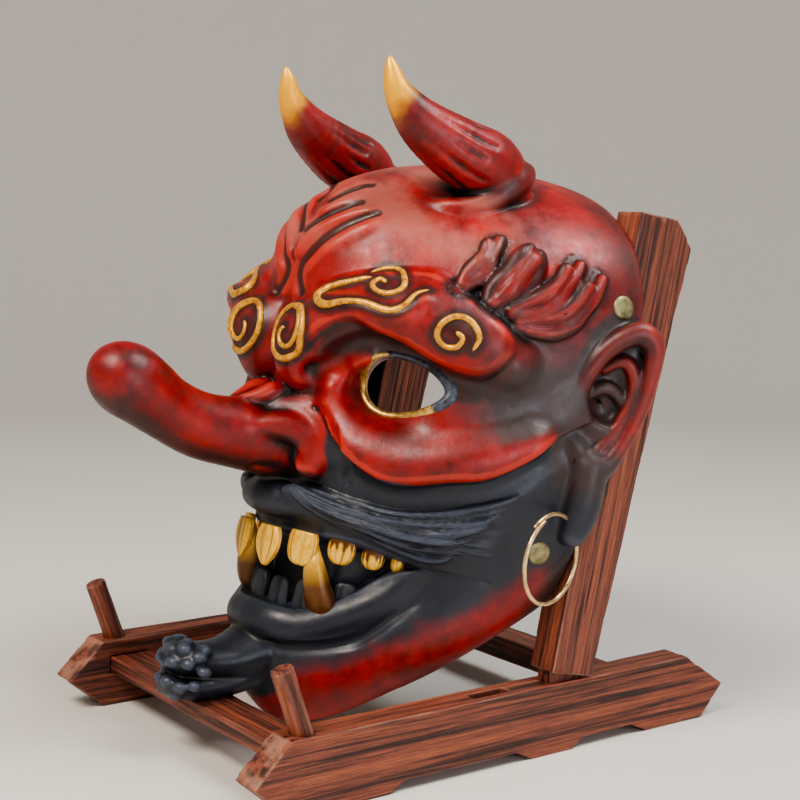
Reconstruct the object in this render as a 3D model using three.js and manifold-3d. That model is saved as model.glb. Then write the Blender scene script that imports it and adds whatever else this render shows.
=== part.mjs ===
// A long-nosed horned mask, cast as one hollow shell and painted, leaning on its wooden display stand.
// Millimetres, +Z up. The face looks along -Y and +X is the mask's own left side.
import * as THREE from 'three';
import { mergeVertices } from 'three/addons/utils/BufferGeometryUtils.js';
import Module from 'manifold-3d';

const wasm = await Module();
wasm.setup();

// Stand
const gap = 0.3;
const boardThickness = 18;
const railHeight = 36;
const railLength = 300;
const standWidth = 208;
const footRelief = 5;
const railNose = { tip: 16.8, top: 19.4, bottom: 19.8 };
const railTail = { tip: 16.9, top: 28.4, bottom: 15.7 };
const footArches = [[74, 162], [188, 242]];
const postLean = 12.13;
const postFoot = { y: 174.3, z: 42.2 };
// Corners of a post: distance up along its lean, then back from its front edge
const postCorners = [[0, 0], [0, 27.5], [70, 30.5], [190, 37], [226, 40], [232, 34], [238.5, 26], [236.8, 0]];
const tenon = { width: 10, from: 176, to: 197, bottom: 20, top: 44 };
const rimPlane = 165.2;
const pegDiameter = 11;
const pegBase = 30;
const pegFacets = 14;
const pegLean = 19.7;
const pegLength = 33;
const pegDepth = 14;
const mortise = { from: 128, to: 151, width: 7, depth: 18 };
const slatFront = { from: 24, to: 46, bottom: 18, top: 27 };
const slatRear = { from: 226, to: 246, bottom: 16, top: 29 };
const slatHousing = 3;
const cutterTop = 50;

// Mask shell, in the mask's own frame: the rim lies in the plane y = 0 and z runs up the face
const wall = 5;
const rayCentre = [0, 0, 150];
const rayLength = 220;
const rayStep = 3;
const rayHalvings = 18;
const outerGrid = { rings: 24, columns: 56 };
const innerGrid = { rings: 14, columns: 34, overrun: 4 };
const skull = { at: [0, -4, 188], size: [113, 125, 110] };
const head = [
  { at: [52, 8, 222], size: [66, 90, 62], blend: 20 },
  { at: [0, -52, 224], size: [70, 80, 62], blend: 14 },
  { at: [0, -14, 128], size: [102, 100, 80], blend: 25 },
  { at: [0, -64, 73], size: [47, 54, 48], blend: 20 }];
const jaw = {
  rows: [[76, 0, 106, 21], [68, -26, 76, 23], [46, -57, 43, 23], [16, -75, 16, 19], [0, -79, 10, 18]],
  blend: 20,
};
const chin = { at: [0, -76, 24], size: [42, 39, 35], blend: 16 };
const eyeSocket = { at: [64, -106, 170], size: [27, 17, 21], blend: 12 };
const mouthHollow = { at: [0, -120, 70], size: [50, 22, 17], blend: 7 };
const throatCut = { height: 60, slope: 0.8, blend: 4 };
const eyeHole = { at: [58, -91, 169], axis: [0.74, -0.67, 0.04], size: [42, 60, 27], facets: 16 };

// Rolls of the face that run into the shell; each row is x, y, z and radius
const browLobe = { at: [17.5, -127, 182], size: [15.5, 15, 23], blend: 5 };
const faceRolls = [
  { blend: 8, rows: [[18, -122, 184, 19], [38, -114, 190, 20], [58, -103, 200, 17], [76, -88, 202, 16],
    [90, -73, 196, 14], [98, -63, 189, 10]] },
  { blend: 6, rows: [[30, -111, 141, 12], [46, -103, 132, 15], [66, -88, 130, 16], [86, -67, 136, 15],
    [101, -44, 149, 10]] },
  { blend: 5, rows: [[0, -111, 41, 11], [13, -107, 41, 11], [25, -100, 42, 11], [37, -89, 50, 10],
    [51, -74, 64, 8], [61, -65, 80, 5]] },
  { blend: 5, rows: [[0, -124, 100, 9], [13, -120, 100, 9], [25, -110, 100, 8], [38, -94, 98, 6.5],
    [52, -77, 94.5, 5], [62, -66, 88, 4]] },
  { blend: 2, rows: [[8, -123, 112, 6], [28, -114, 111, 7], [50, -94, 112, 7.5], [78, -68, 120, 6],
    [101, -44, 130, 3]] },
  { blend: 2, rows: [[12, -122, 101, 6], [30, -112, 100, 7], [50, -90, 99, 7], [74, -67, 106, 5.5],
    [94, -50, 116, 3]] },
  { blend: 2, rows: [[44, -90, 90, 5], [58, -76, 87, 5.5], [74, -63, 91, 4.5], [88, -53, 98, 2]] },
  { blend: 6, rows: [[8, -118, 144, 11], [22, -124, 140, 11], [27, -122, 128, 10], [22, -118, 119, 8]] }];

// Limbs joined to the shell, with the facets round them and along them
const limbBlunt = 0.7;
const nose = {
  rows: [[0, -100, 138, 23], [0, -120, 133, 20.5], [0, -144, 132, 18], [0, -167, 132.5, 16.5],
    [0, -188, 138, 15.8], [0, -203, 145, 17.3], [0, -213, 148.8, 17.8], [0, -221, 151.5, 13],
    [0, -225.5, 153, 7]],
  sides: 14,
  steps: 12,
};
const horn = {
  rows: [[57.5, -58, 276, 20], [57, -64, 284, 19.5], [54.5, -80, 289.5, 17], [51.5, -102, 296.3, 13.2],
    [49.5, -114, 303, 9.8], [48, -123, 311, 6.5], [47, -127.4, 319.3, 3.9], [46.8, -130, 325, 1.2]],
  sides: 10,
  steps: 9,
};
const beard = {
  rows: [[0, -98, 26, 14], [0, -118, 20, 13.5], [0, -134, 14, 12], [0, -147, 11, 13]],
  sides: 9,
  steps: 5,
};
const beardCurls = [[9, -151, 17, 7], [-9, -151, 17, 7], [0, -156, 10, 8], [10, -150, 4, 7],
  [-10, -150, 4, 7]];
const beardCurl = { length: 2, sides: 6, steps: 1 };
const browLocks = [
  [[76, -82, 220, 9], [77, -76, 236, 8], [78, -70, 250, 4]],
  [[87, -70, 214, 9], [91, -60, 232, 8.5], [92, -56, 246, 4]],
  [[93, -64, 212, 9], [99, -51, 229, 8.5], [101, -40, 245, 4]],
  [[99, -57, 208, 9], [105, -43, 226, 8.5], [106, -32, 242, 4]]];
const browLock = { sides: 6, steps: 2 };
const helix = [[108, -31, 176, 5], [110, -28, 190, 5], [113, -20, 204, 5], [118, -12, 214, 5],
  [124, -5, 219, 5], [128, 0, 209, 5], [129, 2, 189, 5], [125, 2, 169, 5], [119, 1, 149, 5],
  [114, -2, 130, 6], [109, -8, 115, 7]];
const lobe = [[105, -22, 146, 8], [107, -17, 132, 9], [108, -14, 121, 9], [108, -10, 115, 8]];
const earDish = { at: [111, -16, 172], depth: [-4.5, 0.5, 0] };
const antihelix = [[113, -18, 196, 4], [119, -6, 196, 4], [118, -4, 178, 4], [112, -10, 158, 5]];
const earRolls = [{ rows: helix, sides: 7, steps: 12 }, { rows: antihelix, sides: 5, steps: 5 },
  { rows: lobe, sides: 8, steps: 4 }];

// Teeth: centre of the gum line, width across and length; they face out from a point behind the mouth
const toothDepth = 10;
const toothShape = { gum: 0.56, tip: 0.36, sides: 6 };
const toothAim = 52;
const upperTeeth = [[11, -120, 98, 16, 28], [26, -106, 98, 16, 24], [37.5, -91, 98, 14, 20],
  [46.5, -79, 96, 12, 17], [53, -71, 93, 8, 13]];
const lowerTeeth = [[6.5, -105, 45, 12, 17], [18, -101, 46, 11.5, 17], [45, -73, 60, 9, 12]];
const fang = {
  rows: [[28, -91, 50, 9], [29, -99, 64, 7.5], [27, -103, 77, 4.5], [26.5, -103, 84.5, 1.5]],
  sides: 7,
  steps: 4,
};

// Strap caps and earrings, in the mask's frame
const cap = { diameter: 12, height: 2.4, edge: 1.6, seat: 1, cutter: 10, facets: 14 };
const capPlaces = { upper: [-13, 229], lower: [-21, 102] };
const earring = {
  at: [112, -24, 101],
  diameter: 47,
  wire: 2.3,
  turn: 12.7,
  clearance: 0.35,
  steps: 22,
  sides: 6,
};
const earringTurn = THREE.MathUtils.degToRad(earring.turn);

// Surface field of the shell: negative inside, in millimetres
function softMin(a, b, blend) {
  const mix = THREE.MathUtils.clamp(0.5 + (0.5 * (b - a)) / blend, 0, 1);
  return b + (a - b) * mix - blend * mix * (1 - mix);
}

function softMax(a, b, blend) {
  return -softMin(-a, -b, blend);
}

function ellipsoid(p, form) {
  const [x, y, z] = form.at.map((centre, axis) => p[axis] - centre);
  const [a, b, c] = form.size;
  const near = Math.hypot(x / a, y / b, z / c);
  const slope = Math.hypot(x / (a * a), y / (b * b), z / (c * c));
  return (near * (near - 1)) / Math.max(slope, 1e-6);
}

function ridge(p, rows) {
  let best = Infinity;
  for (let i = 0; i + 1 < rows.length; i += 1) {
    const [ax, ay, az, ar] = rows[i];
    const [bx, by, bz, br] = rows[i + 1];
    const along = [bx - ax, by - ay, bz - az];
    const from = [p[0] - ax, p[1] - ay, p[2] - az];
    const dot = from[0] * along[0] + from[1] * along[1] + from[2] * along[2];
    const t = THREE.MathUtils.clamp(dot / (along[0] ** 2 + along[1] ** 2 + along[2] ** 2), 0, 1);
    const away = Math.hypot(from[0] - t * along[0], from[1] - t * along[1], from[2] - t * along[2]);
    best = Math.min(best, away - ar - t * (br - ar));
  }
  return best;
}

function coreField(point) {
  const p = [Math.abs(point[0]), point[1], point[2]];
  let d = ellipsoid(p, skull);
  for (const form of head) d = softMin(d, ellipsoid(p, form), form.blend);
  d = softMin(d, ridge(p, jaw.rows), jaw.blend);
  d = softMin(d, ellipsoid(p, chin), chin.blend);
  for (const form of [eyeSocket, mouthHollow]) d = softMax(d, -ellipsoid(p, form), form.blend);
  const belowThroat = (throatCut.height + throatCut.slope * p[1] - p[2]) / Math.hypot(1, throatCut.slope);
  return softMax(d, belowThroat, throatCut.blend);
}

function faceField(point) {
  const p = [Math.abs(point[0]), point[1], point[2]];
  let d = softMin(coreField(p), ellipsoid(p, browLobe), browLobe.blend);
  for (const roll of faceRolls) d = softMin(d, ridge(p, roll.rows), roll.blend);
  return d;
}

// Distance along a ray at which the field first falls below a level, coming from outside
function reach(field, origin, direction, level) {
  const at = (t) => field(origin.map((o, axis) => o + t * direction[axis]));
  let t = rayLength;
  while (t > 0 && at(t) > level) t -= rayStep;
  let inside = t;
  let outside = t + rayStep;
  for (let i = 0; i < rayHalvings; i += 1) {
    const middle = (inside + outside) / 2;
    if (at(middle) > level) outside = middle;
    else inside = middle;
  }
  return (inside + outside) / 2;
}

// Outward direction of the shell at a point
function outward(p) {
  const step = 1;
  const slope = [0, 1, 2].map((axis) => {
    const ahead = p.map((value, i) => value + (i === axis ? step : 0));
    const behind = p.map((value, i) => value - (i === axis ? step : 0));
    return faceField(ahead) - faceField(behind);
  });
  return new THREE.Vector3(...slope).normalize();
}

// Solids
function toSolid(geometry) {
  const bare = geometry.clone();
  bare.deleteAttribute('normal');
  bare.deleteAttribute('uv');
  const merged = mergeVertices(bare, 1e-4);
  return new wasm.Manifold(new wasm.Mesh({
    numProp: 3,
    vertProperties: new Float32Array(merged.attributes.position.array),
    triVerts: new Uint32Array(merged.index.array),
  }));
}

function solidOf(points, faces) {
  const geometry = new THREE.BufferGeometry();
  geometry.setAttribute('position', new THREE.Float32BufferAttribute(points.flat(), 3));
  geometry.setIndex(faces.flat());
  return toSolid(geometry);
}

function toGeometry(solid) {
  const mesh = solid.getMesh();
  const geometry = new THREE.BufferGeometry();
  geometry.setAttribute('position', new THREE.Float32BufferAttribute(mesh.vertProperties, 3));
  geometry.setIndex(new THREE.Uint32BufferAttribute(mesh.triVerts, 1));
  geometry.computeVertexNormals();
  return geometry;
}

// Half shell seen from the middle of the rim: rings of rays around the -Y axis, closed by a flat back
function domeSolid(field, level, { rings: across, columns: around, overrun = 0 }) {
  const centre = rayCentre;
  const points = [[0, -reach(field, centre, [0, -1, 0], level), centre[2]]];
  for (let ring = 1; ring <= across; ring += 1) {
    const tilt = (ring / across) * (Math.PI / 2);
    for (let i = 0; i < around; i += 1) {
      const turn = (i / around) * 2 * Math.PI;
      const direction = [Math.sin(tilt) * Math.sin(turn), -Math.cos(tilt), -Math.sin(tilt) * Math.cos(turn)];
      const length = reach(field, centre, direction, level);
      const point = centre.map((c, axis) => c + length * direction[axis]);
      if (ring === across) point[1] = 0;
      points.push(point);
    }
  }
  if (overrun > 0) {
    for (const point of points.slice(-around)) points.push([point[0], overrun, point[2]]);
  }
  const rows = across + (overrun > 0 ? 1 : 0);
  const backCentre = points.length;
  points.push([centre[0], overrun, centre[2]]);
  const faces = [];
  for (let i = 0; i < around; i += 1) {
    const next = (i + 1) % around;
    faces.push([0, 1 + i, 1 + next]);
    for (let row = 0; row + 1 < rows; row += 1) {
      const a = 1 + row * around;
      const b = a + around;
      if (2 * i < around) faces.push([a + i, b + i, b + next], [a + i, b + next, a + next]);
      else faces.push([a + i, b + i, a + next], [b + i, b + next, a + next]);
    }
    const last = 1 + (rows - 1) * around;
    faces.push([backCentre, last + next, last + i]);
  }
  return solidOf(points, faces);
}

// Round limb through rows of x, y, z and radius, with blunt ends
function limb({ rows, sides, steps }) {
  const path = new THREE.CatmullRomCurve3(rows.map(([x, y, z]) => new THREE.Vector3(x, y, z)));
  const frames = path.computeFrenetFrames(steps, false);
  const radiusAt = (t) => {
    const place = Math.min(t * (rows.length - 1), rows.length - 1 - 1e-9);
    const i = Math.floor(place);
    return THREE.MathUtils.lerp(rows[i][3], rows[i + 1][3], place - i);
  };
  const points = [];
  const addRing = (centre, step, radius) => {
    for (let side = 0; side < sides; side += 1) {
      const turn = (side / sides) * 2 * Math.PI;
      const out = frames.normals[step].clone().multiplyScalar(Math.cos(turn));
      out.addScaledVector(frames.binormals[step], Math.sin(turn));
      points.push(centre.clone().addScaledVector(out, radius).toArray());
    }
  };
  for (let step = 0; step <= steps; step += 1) {
    addRing(path.getPoint(step / steps), step, radiusAt(step / steps));
  }
  const tips = [0, steps].map((step) => {
    const way = step === 0 ? -1 : 1;
    const radius = radiusAt(step / steps);
    return path.getPoint(step / steps).addScaledVector(frames.tangents[step], way * radius * limbBlunt).toArray();
  });
  const first = points.length;
  points.push(...tips);
  const faces = [];
  for (let side = 0; side < sides; side += 1) {
    const next = (side + 1) % sides;
    faces.push([first, next, side]);
    for (let step = 0; step < steps; step += 1) {
      const a = step * sides;
      const b = a + sides;
      faces.push([a + side, a + next, b + next], [a + side, b + next, b + side]);
    }
    const last = steps * sides;
    faces.push([first + 1, last + side, last + next]);
  }
  return solidOf(points, faces);
}

function onSide(form, side) {
  return { ...form, rows: form.rows.map(([x, ...rest]) => [side * x, ...rest]) };
}

// Turns a geometry made around +Y so that it stands along an axis at a point
function standOn(geometry, at, axis) {
  const along = new THREE.Vector3(...axis).normalize();
  const across = new THREE.Vector3(0, 0, 1).cross(along).normalize();
  const up = new THREE.Vector3().crossVectors(across, along);
  geometry.applyMatrix4(new THREE.Matrix4().makeBasis(across, along, up));
  return geometry.translate(...at);
}

// Tooth: a block that narrows to its tip, turned to face out of the mouth
function tooth([x, y, z, width, length], down) {
  const geometry = new THREE.CylinderGeometry(toothShape.gum, toothShape.tip, length, toothShape.sides);
  geometry.rotateX(down ? Math.PI / 2 : -Math.PI / 2);
  geometry.scale(width, toothDepth, 1);
  geometry.rotateZ(Math.atan2(x, -y - toothAim));
  geometry.translate(x, y, z + (down ? -length / 2 : length / 2));
  return toSolid(geometry);
}

// Ear: a dished plate between the rim roll and the head, with the roll and the inner fold on it
function earSolids(side) {
  const outline = helix.map(([x, y, z]) => [side * x, y, z]);
  const centre = [side * earDish.at[0], earDish.at[1], earDish.at[2]];
  const back = (p) => p.map((value, axis) => value + earDish.depth[axis] * (axis === 0 ? side : 1));
  const points = [centre, ...outline, back(centre), ...outline.map(back)];
  const count = outline.length;
  const faces = [];
  for (let i = 0; i < count; i += 1) {
    const a = 1 + i;
    const b = 1 + ((i + 1) % count);
    const shift = count + 1;
    faces.push([0, a, b], [shift, b + shift, a + shift], [a, a + shift, b + shift], [a, b + shift, b]);
  }
  if (side > 0) for (const face of faces) face.reverse();
  return [solidOf(points, faces), ...earRolls.map((roll) => limb(onSide(roll, side)))];
}

function earringGeometry(wire, side) {
  const ring = new THREE.TorusGeometry(earring.diameter / 2, wire / 2, earring.sides, earring.steps);
  return ring.rotateY(Math.PI / 2).rotateZ(side * earringTurn);
}

// Point and outward direction of each strap cap on the near side
function capSpots() {
  return Object.entries(capPlaces).map(([name, [y, z]]) => {
    const x = reach(faceField, [0, y, z], [1, 0, 0], 0);
    return { name, at: [x, y, z], out: outward([x, y, z]).toArray() };
  });
}

function flipped(point, side) {
  return [side * point[0], point[1], point[2]];
}

function maskSolid() {
  let solid = domeSolid(faceField, 0, outerGrid);
  const add = (piece) => {
    solid = solid.add(piece);
  };
  const cut = (piece) => {
    solid = solid.subtract(piece);
  };
  add(limb(nose));
  add(limb(beard));
  for (const [x, y, z, radius] of beardCurls) {
    add(limb({ ...beardCurl, rows: [[x, y, z, radius], [x, y - beardCurl.length, z, radius]] }));
  }
  for (const side of [1, -1]) {
    add(limb(onSide(horn, side)));
    add(limb(onSide(fang, side)));
    for (const rows of browLocks) add(limb(onSide({ ...browLock, rows }, side)));
    for (const piece of earSolids(side)) add(piece);
    for (const [x, ...rest] of upperTeeth) add(tooth([side * x, ...rest], true));
    for (const [x, ...rest] of lowerTeeth) add(tooth([side * x, ...rest], false));
  }
  cut(domeSolid(coreField, -wall, innerGrid));
  for (const side of [1, -1]) {
    const hole = new THREE.CylinderGeometry(0.5, 0.5, 1, eyeHole.facets).scale(...eyeHole.size);
    cut(toSolid(standOn(hole, flipped(eyeHole.at, side), flipped(eyeHole.axis, side))));
    for (const spot of capSpots()) {
      const across = cap.diameter / 2 + gap;
      const seat = new THREE.CylinderGeometry(across, across, cap.cutter, cap.facets);
      seat.translate(0, cap.cutter / 2 - cap.seat, 0);
      cut(toSolid(standOn(seat, flipped(spot.at, side), flipped(spot.out, side))));
    }
    const ring = earringGeometry(earring.wire + 2 * earring.clearance, side);
    cut(toSolid(ring.translate(...flipped(earring.at, side))));
  }
  return solid;
}

// Stand parts, drawn as outlines in the plane of Y and Z and given a thickness along X
function board(outline, thickness, middle) {
  const shape = new THREE.Shape(outline.map(([y, z]) => new THREE.Vector2(y, z)));
  const geometry = new THREE.ExtrudeGeometry(shape, { depth: thickness, bevelEnabled: false, steps: 1 });
  geometry.translate(0, 0, -thickness / 2);
  geometry.applyMatrix4(new THREE.Matrix4().makeBasis(
    new THREE.Vector3(0, 1, 0), new THREE.Vector3(0, 0, 1), new THREE.Vector3(1, 0, 0)));
  return geometry.translate(middle, 0, 0);
}

function block(x, y, z) {
  const geometry = new THREE.BoxGeometry(x[1] - x[0], y[1] - y[0], z[1] - z[0]);
  return geometry.translate((x[0] + x[1]) / 2, (y[0] + y[1]) / 2, (z[0] + z[1]) / 2);
}

const railMiddle = (standWidth - boardThickness) / 2;
const leanWay = [Math.sin(THREE.MathUtils.degToRad(postLean)), Math.cos(THREE.MathUtils.degToRad(postLean))];

// Point of the post: distance up from the foot along the lean, and distance back from the front edge
function postPoint(up, back) {
  return [postFoot.y + up * leanWay[0] + back * leanWay[1], postFoot.z + up * leanWay[1] - back * leanWay[0]];
}

function pegGeometry(diameter, length, below) {
  const peg = new THREE.CylinderGeometry(diameter / 2, diameter / 2, length + below, pegFacets);
  return peg.translate(0, (length - below) / 2, 0).rotateX(THREE.MathUtils.degToRad(90 + pegLean));
}

function railSolid(side) {
  const outline = [[railNose.bottom, 0], ...footArches.flatMap(([from, to]) => [[from, 0],
    [from + footRelief * 2, footRelief], [to - footRelief * 2, footRelief], [to, 0]]),
  [railLength - railTail.bottom, 0], [railLength, railTail.tip], [railLength - railTail.top, railHeight],
  [railNose.top, railHeight], [0, railNose.tip]];
  let solid = toSolid(board(outline, boardThickness, side * railMiddle));
  const half = mortise.width / 2;
  const across = [side * railMiddle - half, side * railMiddle + half];
  solid = solid.subtract(toSolid(block(across, [mortise.from, mortise.to], [railHeight - mortise.depth, cutterTop])));
  const slot = tenon.width / 2 + gap;
  solid = solid.subtract(toSolid(block([side * railMiddle - slot, side * railMiddle + slot],
    [tenon.from - gap, tenon.to + gap], [tenon.bottom - gap, cutterTop])));
  const hole = pegGeometry(pegDiameter + 2 * gap, pegLength, pegDepth + gap);
  solid = solid.subtract(toSolid(hole.translate(side * railMiddle, pegBase, railHeight)));
  const inner = side * (standWidth / 2 - boardThickness);
  for (const slat of [slatFront, slatRear]) {
    const reachIn = [inner - slatHousing - gap, inner + slatHousing + gap];
    solid = solid.subtract(toSolid(block(reachIn, [slat.from - gap, slat.to + gap],
      [slat.bottom - gap, slat.top + gap])));
  }
  return solid;
}

function postSolid(side) {
  const outline = postCorners.map(([up, back]) => postPoint(up, back));
  const post = toSolid(board(outline, boardThickness, side * railMiddle));
  const half = tenon.width / 2;
  return post.add(toSolid(block([side * railMiddle - half, side * railMiddle + half],
    [tenon.from, tenon.to], [tenon.bottom, tenon.top])));
}

function slatGeometry(slat) {
  const half = standWidth / 2 - boardThickness + slatHousing;
  return block([-half, half], [slat.from, slat.to], [slat.bottom, slat.top]);
}

function capGeometry() {
  const radius = cap.diameter / 2;
  const profile = [[0, 0], [radius, 0], [radius, cap.edge], [0, cap.height]];
  return new THREE.LatheGeometry(profile.map(([x, y]) => new THREE.Vector2(x, y)), cap.facets);
}

const paintedResin = new THREE.MeshStandardMaterial({ color: 0x96141a, roughness: 0.42, metalness: 0 });
const wengeWood = new THREE.MeshStandardMaterial({ color: 0x5b2e1f, roughness: 0.55, metalness: 0 });
const brassCap = new THREE.MeshStandardMaterial({ color: 0xa89a6a, roughness: 0.45, metalness: 1 });
const brassWire = new THREE.MeshStandardMaterial({ color: 0xcfae7c, roughness: 0.25, metalness: 1 });

const root = new THREE.Group();
const maskFrame = new THREE.Group();
maskFrame.position.set(0, rimPlane - gap, 0);
maskFrame.rotation.x = -THREE.MathUtils.degToRad(postLean);
root.add(maskFrame);

function place(parent, name, geometry, material) {
  const mesh = new THREE.Mesh(geometry, material);
  mesh.name = name;
  parent.add(mesh);
  return mesh;
}

place(maskFrame, 'mask', toGeometry(maskSolid()), paintedResin);
for (const [side, word] of [[1, 'left'], [-1, 'right']]) {
  for (const spot of capSpots()) {
    const geometry = capGeometry().translate(0, gap - cap.seat, 0);
    place(maskFrame, `strap_cap_${spot.name}_${word}`,
      standOn(geometry, flipped(spot.at, side), flipped(spot.out, side)), brassCap);
  }
  place(maskFrame, `earring_${word}`, earringGeometry(earring.wire, side), brassWire)
    .position.set(...flipped(earring.at, side));
  place(root, `rail_${word}`, toGeometry(railSolid(side)), wengeWood);
  place(root, `post_${word}`, toGeometry(postSolid(side)), wengeWood);
  place(root, `peg_${word}`, pegGeometry(pegDiameter, pegLength, pegDepth), wengeWood)
    .position.set(side * railMiddle, pegBase, railHeight);
}
place(root, 'slat_front', slatGeometry(slatFront), wengeWood);
place(root, 'slat_rear', slatGeometry(slatRear), wengeWood);

// The row's origin is under the middle of the whole object, on the surface it stands on
root.updateMatrixWorld(true);
const extent = new THREE.Box3().setFromObject(root, true);
const middle = extent.getCenter(new THREE.Vector3());
root.position.set(-middle.x, -middle.y, -extent.min.z);

export default root;
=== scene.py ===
import math
import bmesh
import bpy
import numpy as np
from mathutils import Matrix, Vector


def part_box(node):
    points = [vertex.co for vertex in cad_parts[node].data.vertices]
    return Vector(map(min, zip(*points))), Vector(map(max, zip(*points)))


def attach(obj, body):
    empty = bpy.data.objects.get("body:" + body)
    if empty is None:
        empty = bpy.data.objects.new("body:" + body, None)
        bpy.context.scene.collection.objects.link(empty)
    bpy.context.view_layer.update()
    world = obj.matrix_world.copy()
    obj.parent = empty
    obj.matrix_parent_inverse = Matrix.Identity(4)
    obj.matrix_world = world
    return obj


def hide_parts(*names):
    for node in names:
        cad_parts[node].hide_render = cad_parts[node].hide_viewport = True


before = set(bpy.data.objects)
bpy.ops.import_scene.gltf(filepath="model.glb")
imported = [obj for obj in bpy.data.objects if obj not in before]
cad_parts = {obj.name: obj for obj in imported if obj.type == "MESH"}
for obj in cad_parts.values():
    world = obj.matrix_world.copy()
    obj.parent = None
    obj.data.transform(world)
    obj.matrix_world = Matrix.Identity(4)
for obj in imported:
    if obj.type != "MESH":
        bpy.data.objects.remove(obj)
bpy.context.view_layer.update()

# Sizes are millimetres unless a name says otherwise; Blender's own unit is the metre.
mm = 0.001
seat = {"lean": 12.13, "rim": 164.9}
sculptCell = 1.1


# Places

# The stand's own frame: X across with 0 in the middle, Y back from the rails' front ends, Z up
railLow, railHigh = (np.array(corner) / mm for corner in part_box("rail_left"))
farLow, farHigh = (np.array(corner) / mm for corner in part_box("rail_right"))
standOrigin = np.array([(railHigh[0] + farLow[0]) / 2, railLow[1], railLow[2]])

lean = math.radians(seat["lean"])
maskAxes = np.array([[1, 0, 0], [0, math.cos(lean), -math.sin(lean)], [0, math.sin(lean), math.cos(lean)]])
maskOrigin = standOrigin + np.array([0, seat["rim"], 0])


def fromMask(points):
    # rows of mask millimetres (rim in y = 0, z up the face) as metres in the row frame
    return (np.asarray(points, float) @ maskAxes + maskOrigin) * mm


def toMask(points):
    return (np.asarray(points, float) / mm - maskOrigin) @ maskAxes.T


def smooth(value, low, high):
    t = np.clip((value - low) / (high - low), 0, 1)
    return t * t * (3 - 2 * t)


def softMin(a, b, blend):
    mix = np.clip(0.5 + 0.5 * (b - a) / blend, 0, 1)
    return b + (a - b) * mix - blend * mix * (1 - mix)


def bend(rows, count):
    # a smooth path through rows of numbers, at an even number of steps
    rows = np.array(rows, float)
    ends = np.vstack([2 * rows[0] - rows[1], rows, 2 * rows[-1] - rows[-2]])
    place = np.linspace(0, len(rows) - 1, count)
    i = np.minimum(place.astype(int), len(rows) - 2)
    t = (place - i)[:, None]
    a, b, c, d = ends[i], ends[i + 1], ends[i + 2], ends[i + 3]
    return 0.5 * (2 * b + (c - a) * t + (2 * a - 5 * b + 4 * c - d) * t ** 2 + (3 * b - a - 3 * c + d) * t ** 3)


def ellipsoid(x, y, z, at, size):
    x, y, z = x - at[0], y - at[1], z - at[2]
    near = np.sqrt((x / size[0]) ** 2 + (y / size[1]) ** 2 + (z / size[2]) ** 2)
    slope = np.sqrt((x / size[0] ** 2) ** 2 + (y / size[1] ** 2) ** 2 + (z / size[2] ** 2) ** 2)
    return near * (near - 1) / np.maximum(slope, 1e-6)


def awayFrom(points, rows, steps=24):
    # distance of each point from a thick smooth line, less the line's radius
    rows = bend(rows, steps)
    best = np.full(len(points), 1e9)
    for a, b in zip(rows[:-1], rows[1:]):
        along = b[:3] - a[:3]
        t = np.clip((points - a[:3]) @ along / max(along @ along, 1e-9), 0, 1)
        away = np.linalg.norm(points - a[:3] - t[:, None] * along, axis=1) - (a[3] + t * (b[3] - a[3]))
        best = np.minimum(best, away)
    return best


# Clay: a grid of distances to the surface, negative inside, for the half of the face with x above 0

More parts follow.
